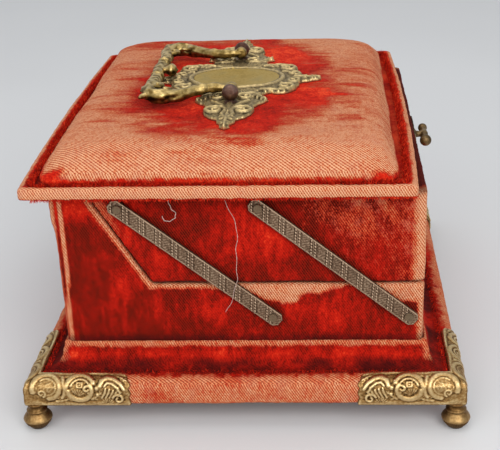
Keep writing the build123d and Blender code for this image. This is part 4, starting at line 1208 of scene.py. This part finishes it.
def bail():
    pile = Pile()
    line = [(-x, y) for x, y in BAIL_LINE[:0:-1]] + list(BAIL_LINE)
    path = through([(x, y + PLATE_Y, BAIL_Z - sag(y)) for x, y in line], 16)
    run = np.concatenate([[0], np.cumsum(np.linalg.norm(np.diff(path, axis=0), axis=1))])
    swell = np.interp(np.abs(2 * run / run[-1] - 1), *zip(*BAIL_RADII))
    pile.add(*tube(path, swell, 28, chased))
    for way in (-1, 1):
        bail_side(pile, way)
    bud = through([(0, y + PLATE_Y, BAIL_Z + 0.2) for y in (38.6, 36.4, 34.4, 32.4, 30.4, 29.0)], 8)
    k = np.linspace(0, 1, len(bud))
    size = 1.5 + 1.7 * np.exp(-((k - 0.62) / 0.2) ** 2) - 1.2 * smooth(0.8, 1.0, k)
    pile.add(*tube(bud, size, 20, fluted(6, 0.07)))
    mesh = pile.mesh("cast_bail")
    co = get_co(mesh)
    n = get_normals(mesh)
    cast = noise(co, 1.7, 8)
    set_co(mesh, co + n * (0.16 * cast)[:, None])
    plain = smooth(28, 22, co[:, 1] - PLATE_Y)
    # relief field: cast texture, plus painted light on the faces that look up
    set_field(mesh, "relief", np.clip(0.42 + (0.6 - 0.35 * plain) * cast + 0.35 * n[:, 2], 0, 1))
    place("cast_bail", mesh, HANDLE, "bail", ("bail_handle",))


ball_posts()
bail()


# Clasp: a winged plate on the tray's front, and the knob that turns in it

CLASP_HALF, SHAFT_END = 47.0, 72.2
CLASP_EDGE = (
    (0, 7.6, 12.5), (6.5, 7.4, 11), (13, 5.0, 7.5), (18, 3.9, 5.2), (22, 3.2, 4.2),
    (30, 5.6, 6.0), (38, 2.2, 2.2), (44, 1.2, 1.2), (47, 0.3, 0.3),
)


def clasp_plate():
    x = CLASP_HALF * np.linspace(-1, 1, 190)
    at, *edges = zip(*CLASP_EDGE)
    upper, lower = (np.interp(np.abs(x), at, edge)[:, None] for edge in edges)
    v = np.linspace(-1, 1, 60)[None]
    zz = np.where(v > 0, v * upper, v * lower)
    xx = np.repeat(x[:, None], 60, 1)
    r = Relief(np.abs(xx).ravel(), zz.ravel(), 0.2 * np.ones(xx.size))
    r.scroll((12.0, -2.0), (5.4, 1.2), 120, -1.2, (1.3, 0.7))
    r.leaf((17, 0), 0, 26, 3.2, 0.0, 6)
    r.leaf((2, -5), -80, 8, 2.6, 0.2, 3)
    r.up(0.8 * round_ridge((np.hypot(r.x, r.y) - 4.8) / 0.7))
    rim = np.minimum((1 - np.abs(v)) * np.minimum(upper, lower) / 0.7, (CLASP_HALF - np.abs(xx)) / 1.0)
    h = r.h.reshape(xx.shape) * np.clip(rim, 0, 1)
    front = np.stack([xx, -HALF_Y - 0.45 - 0.85 * h, CATCH_Z + zz], 2)
    back = np.stack([xx, np.full(xx.shape, -HALF_Y + 0.1), CATCH_Z + zz], 2)
    mesh = mesh_from("clasp_relief", *slab(front, back))
    set_field(mesh, "relief", with_back(h, 0.2))
    place("clasp_relief", mesh, CLASP, "tray", ("clasp_plate",))


def along_y(verts):
    return np.stack([verts[:, 0], -verts[:, 2], verts[:, 1] + CATCH_Z], 1)


def clasp_turn():
    pile = Pile()
    front_y = HALF_Y + 0.95
    stem = (
        (3.2, 0), (3.0, 0.5), (2.4, 0.9), (1.7, 1.4), (1.5, 3.2),
        (1.9, 4.2), (2.1, 5.4), (1.9, 6.6), (1.0, 7.0),
    )
    shaft = ((1.48, SHAFT_END - front_y), (1.48, 0.2))
    for profile, sides in ((stem, 28), (shaft, 20)):
        verts, faces = turned([(radius, front_y + y) for radius, y in profile], sides)
        pile.add(along_y(verts), faces)
    # bar with a large ball at one end and a small one at the other
    angles = np.linspace(-1.5, 1.5, 22)
    bar = [(max(2.9 * math.cos(a), 0.05), -9.4 + 2.9 * math.sin(a)) for a in angles]
    bar = [(radius, z) for radius, z in bar if z < -7.2]
    bar += [(1.45, -6.9), (1.75, -6.5), (1.45, -6.0), (1.3, -4.5), (1.4, -2.4), (1.9, -1.6), (2.0, 0)]
    bar += [(1.9, 1.6), (1.4, 2.4), (1.3, 4.5), (1.4, 6.0), (1.7, 6.6), (1.35, 7.2)]
    bar += [(max(2.3 * math.cos(a), 0.05), 9.4 + 2.3 * math.sin(a)) for a in np.linspace(-0.9, 1.5, 18)]
    verts, faces = turned(bar, 28)
    centre = (0, -front_y - 5.4, CATCH_Z)
    pile.add(np.stack([verts[:, 2], verts[:, 0], verts[:, 1]], 1) + centre, faces)
    mesh = pile.mesh("clasp_turn")
    set_field(mesh, "relief", 0.45 + 0.3 * noise(get_co(mesh), 3, 4))
    place("clasp_turn", mesh, CLASP, "catch", ("clasp_knob",))


clasp_plate()
clasp_turn()


# Small metal and board nodes keep their CAD shape

KEPT = {
    "rivet": RIVET, "hinge": HINGE, "clasp_crescent": CLASP, "lid_staple": CLASP,
    "base_floor": BOARD, "tray_floor": BOARD,
}
for name in nodes:
    for start, material in KEPT.items():
        if name.startswith(start):
            if not nodes[name].material_slots:
                nodes[name].data.materials.append(material)
            for slot in nodes[name].material_slots:
                slot.material = material


# Frayed pile, hem and loose threads

HEM_Z, GROOVE_Z, SHOULDER_Z = 109.75, 114.2, 24.7

def tufts(name, body, roots, ways, spread, lengths, thick, nap_and_painted_light, rng, seed, bend=0.35):
    """Closed three-sided spikes, bent once, as tufts of pile; the ranges are drawn from for each."""
    count = len(roots)
    ways = ways + rng.normal(size=(count, 3)) * spread
    lengths, thick, nap_and_painted_light = (rng.uniform(*limits, count) for limits in (lengths, thick, nap_and_painted_light))
    rng = np.random.default_rng(seed)
    ways = ways / np.linalg.norm(ways, axis=1)[:, None]
    side = np.cross(ways, rng.normal(size=(count, 3)))
    side /= np.linalg.norm(side, axis=1)[:, None]
    other = np.cross(ways, side)
    lean = rng.normal(size=(count, 3)) * bend
    lengths = lengths[:, None]
    middle = roots + ways * lengths * 0.5 + lean * lengths * 0.25
    tip = roots + ways * lengths + lean * lengths
    rings = []
    for centre, size in ((roots, 1.0), (middle, 0.75)):
        for k in range(3):
            a = TAU * k / 3
            rings.append(centre + (side * math.cos(a) + other * math.sin(a)) * (thick * size)[:, None])
    verts = np.stack(rings + [tip], 1).reshape(-1, 3)
    one = [(2, 1, 0), (0, 1, 4, 3), (1, 2, 5, 4), (2, 0, 3, 5), (3, 4, 6), (4, 5, 6), (5, 3, 6)]
    faces = [tuple(7 * i + k for k in f) for i in range(count) for f in one]
    mesh = mesh_from(name, verts, faces)
    none = np.zeros(len(verts))
    for field, values in (("wear", none), ("nap_and_painted_light", np.repeat(nap_and_painted_light, 7)), ("dirt_and_shade", none)):
        set_field(mesh, field, values)
    mesh.uv_layers.new(name="cloth")
    place(name, mesh, VELVET, body, shade=False)


def lid_rim(count, inset, seed):
    """Random places round the lid's edge with the outward direction."""
    rng = np.random.default_rng(seed)
    end = LID_END - inset
    front, back = LID_FRONT + inset, LID_BACK - inset
    out, way = [], []
    for _ in range(count):
        pick = rng.random() * 2 * (2 * end + back - front)
        if pick < 4 * end:
            toward = -1 if pick < 2 * end else 1
            x = pick - (2 + toward) * end
            out.append((x, (front if toward < 0 else back) + toward * LID_BOW * (1 - (x / end) ** 2)))
            way.append((0, toward))
        else:
            toward = -1 if rng.random() < 0.5 else 1
            out.append((toward * end, min(front + (pick - 4 * end) / 2, back)))
            way.append((toward, 0))
    return np.asarray(out), np.asarray(way), rng


def plinth_rim(count, u, z, seed):
    """Random places round the plinth, u out from the body, with the outward direction."""
    rng = np.random.default_rng(seed)
    hx, hy = HALF_X + u, HALF_Y + u
    pick = rng.random(count) * 4 * (hx + hy)
    rest = pick - 4 * hx
    roots, ways = np.full((count, 3), z), np.zeros((count, 3))
    for mask, sx, sy in (
        (pick < 2 * hx, 0, -1), ((pick >= 2 * hx) & (rest < 0), 0, 1),
        ((rest >= 0) & (rest < 2 * hy), -1, 0), (rest >= 2 * hy, 1, 0),
    ):
        roots[mask, 0] = sx * hx if sx else pick[mask] % (2 * hx) - hx
        roots[mask, 1] = sy * hy if sy else rest[mask] % (2 * hy) - hy
        ways[mask] = (sx, sy, 0)
    return roots, ways, rng


def lid_tufts(name, at, way, z, lean, rise, spread, lengths, thick, nap_and_painted_light, rng, seed):
    roots = np.column_stack([at, np.full(len(at), z)])
    ways = np.column_stack([way * lean, np.full(len(at), rise)])
    tufts(name, "lid", roots, ways, spread, lengths, thick, nap_and_painted_light, rng, seed)


# under the hem, except along the hinged side, where the case comes close as the lid opens
at, way, rng = lid_rim(5200, 1.1, 5)
free = (way[:, 1] < 0.5) & (at[:, 1] < 86)
lid_tufts(
    "lid_hem_fray", at[free], way[free], HEM_Z, 0.5, -0.9, 0.35,
    (0.5, 1.5), (0.12, 0.24), (-0.2, 0.9), rng, 6,
)
at, way, rng = lid_rim(9000, 4.4, 15)
at = at - way * rng.uniform(-0.9, 1.6, len(at))[:, None]
lid_tufts(
    "pad_groove_pile", at, way, GROOVE_Z, 0.3, 1.0, 0.4,
    (1.0, 2.3), (0.14, 0.3), (-0.5, 0.9), rng, 16,
)
roots, ways, rng = plinth_rim(9000, 9.4, SHOULDER_Z, 25)
roots += ways * rng.uniform(-1.4, 1.4, len(roots))[:, None]
tufts(
    "plinth_shoulder_pile", "case", roots, ways * 0.55 + (0, 0, 0.9), 0.35,
    (0.6, 1.7), (0.12, 0.26), (-0.4, 0.7), rng, 26,
)


def strand(s, angle):
    return 1 + 0.25 * np.cos(2 * angle + 180 * s)


def loose_thread(name, points, radius):
    path = through(points, 14)
    wave = np.linspace(0, 1, len(path))
    path = path + np.stack([0 * wave, 0.25 * np.sin(40 * wave), 0.2 * np.cos(31 * wave)], 1)
    place(name, mesh_from(name, *tube(path, radius, 7, strand)), THREAD, "tray")


loose_thread("loose_thread_long", [
    (-98.0, 6.6, 109.0), (-98.3, 5.7, 106.5), (-98.5, 3.4, 100.9), (-98.6, 1.1, 94.8), (-98.6, 1.0, 87.8),
    (-98.6, 1.7, 81.6), (-98.7, 1.6, 73.4), (-98.7, 2.1, 67.0), (-98.4, 4.5, 58.6), (-98.0, 7.4, 52.1),
], 0.13)
loose_thread("loose_thread_hook", [
    (-97.6, 29.6, 109.0), (-98.0, 29.4, 106.5), (-98.2, 28.8, 103.3), (-98.2, 26.9, 100.5),
    (-98.2, 27.0, 98.2), (-98.2, 29.3, 96.8), (-98.0, 31.8, 96.8), (-97.8, 32.3, 98.7),
], 0.17)


# Floor, pale surroundings and soft lamps

FLOOR_HALF = 6
LAMPS = (
    ("key", (-1.05, -0.5, 0.85), 0.9, 9.5), ("fill", (-1.0, 0.55, 0.7), 0.9, 4.6),
    ("top", (0.1, 0.0, 1.4), 1.2, 3.6),
)


def add_floor():
    s = Shade("floor")
    colour = s.ramp(s.texture(3.0, 2.0), (0.3, "#DCDCDC"), (0.7, "#DFDFDF"))
    put(s.tree, s.shader.inputs["Base Color"], colour)
    s.shader.inputs["Roughness"].default_value = 0.75
    s.shader.inputs["Specular IOR Level"].default_value = 0.2
    mesh = bpy.data.meshes.new("floor")
    corners = [(x * FLOOR_HALF, y * FLOOR_HALF, 0) for x, y in ((-1, -1), (1, -1), (1, 1), (-1, 1))]
    mesh.from_pydata(corners, [], [(0, 1, 2, 3)])
    mesh.materials.append(s.material)
    floor = bpy.data.objects.new("floor", mesh)
    bpy.context.scene.collection.objects.link(floor)


def add_surroundings():
    world = bpy.data.worlds.new("studio")
    bpy.context.scene.world = world
    world.use_nodes = True
    tree = world.node_tree
    tree.nodes.clear()
    ray = node(tree, "ShaderNodeLightPath").outputs
    seen = ray["Is Camera Ray"]
    for kind in ("Is Glossy Ray", "Is Transmission Ray"):
        seen = node(tree, "ShaderNodeMath", {0: seen, 1: ray[kind]}, operation="MAXIMUM").outputs[0]
    ambient = node(tree, "ShaderNodeBackground", {"Color": (0.93, 0.96, 1.0, 1), "Strength": 0.55})
    shown = node(tree, "ShaderNodeBackground", {"Color": rgb("#C8CCCE"), "Strength": 1.0})
    blend = node(tree, "ShaderNodeMixShader", {0: seen, 1: ambient.outputs[0], 2: shown.outputs[0]})
    node(tree, "ShaderNodeOutputWorld", {0: blend.outputs[0]})
    for name, at, size, power in LAMPS:
        data = bpy.data.lights.new(name, "AREA")
        data.shape = "SQUARE"
        data.size = size
        data.energy = power
        light = bpy.data.objects.new(name, data)
        bpy.context.scene.collection.objects.link(light)
        light.location = at
        light.rotation_euler = (Vector((0, 0, 0.06)) - Vector(at)).to_track_quat("-Z", "Y").to_euler()


add_floor()
add_surroundings()
bpy.context.scene.view_settings.view_transform = "Standard"
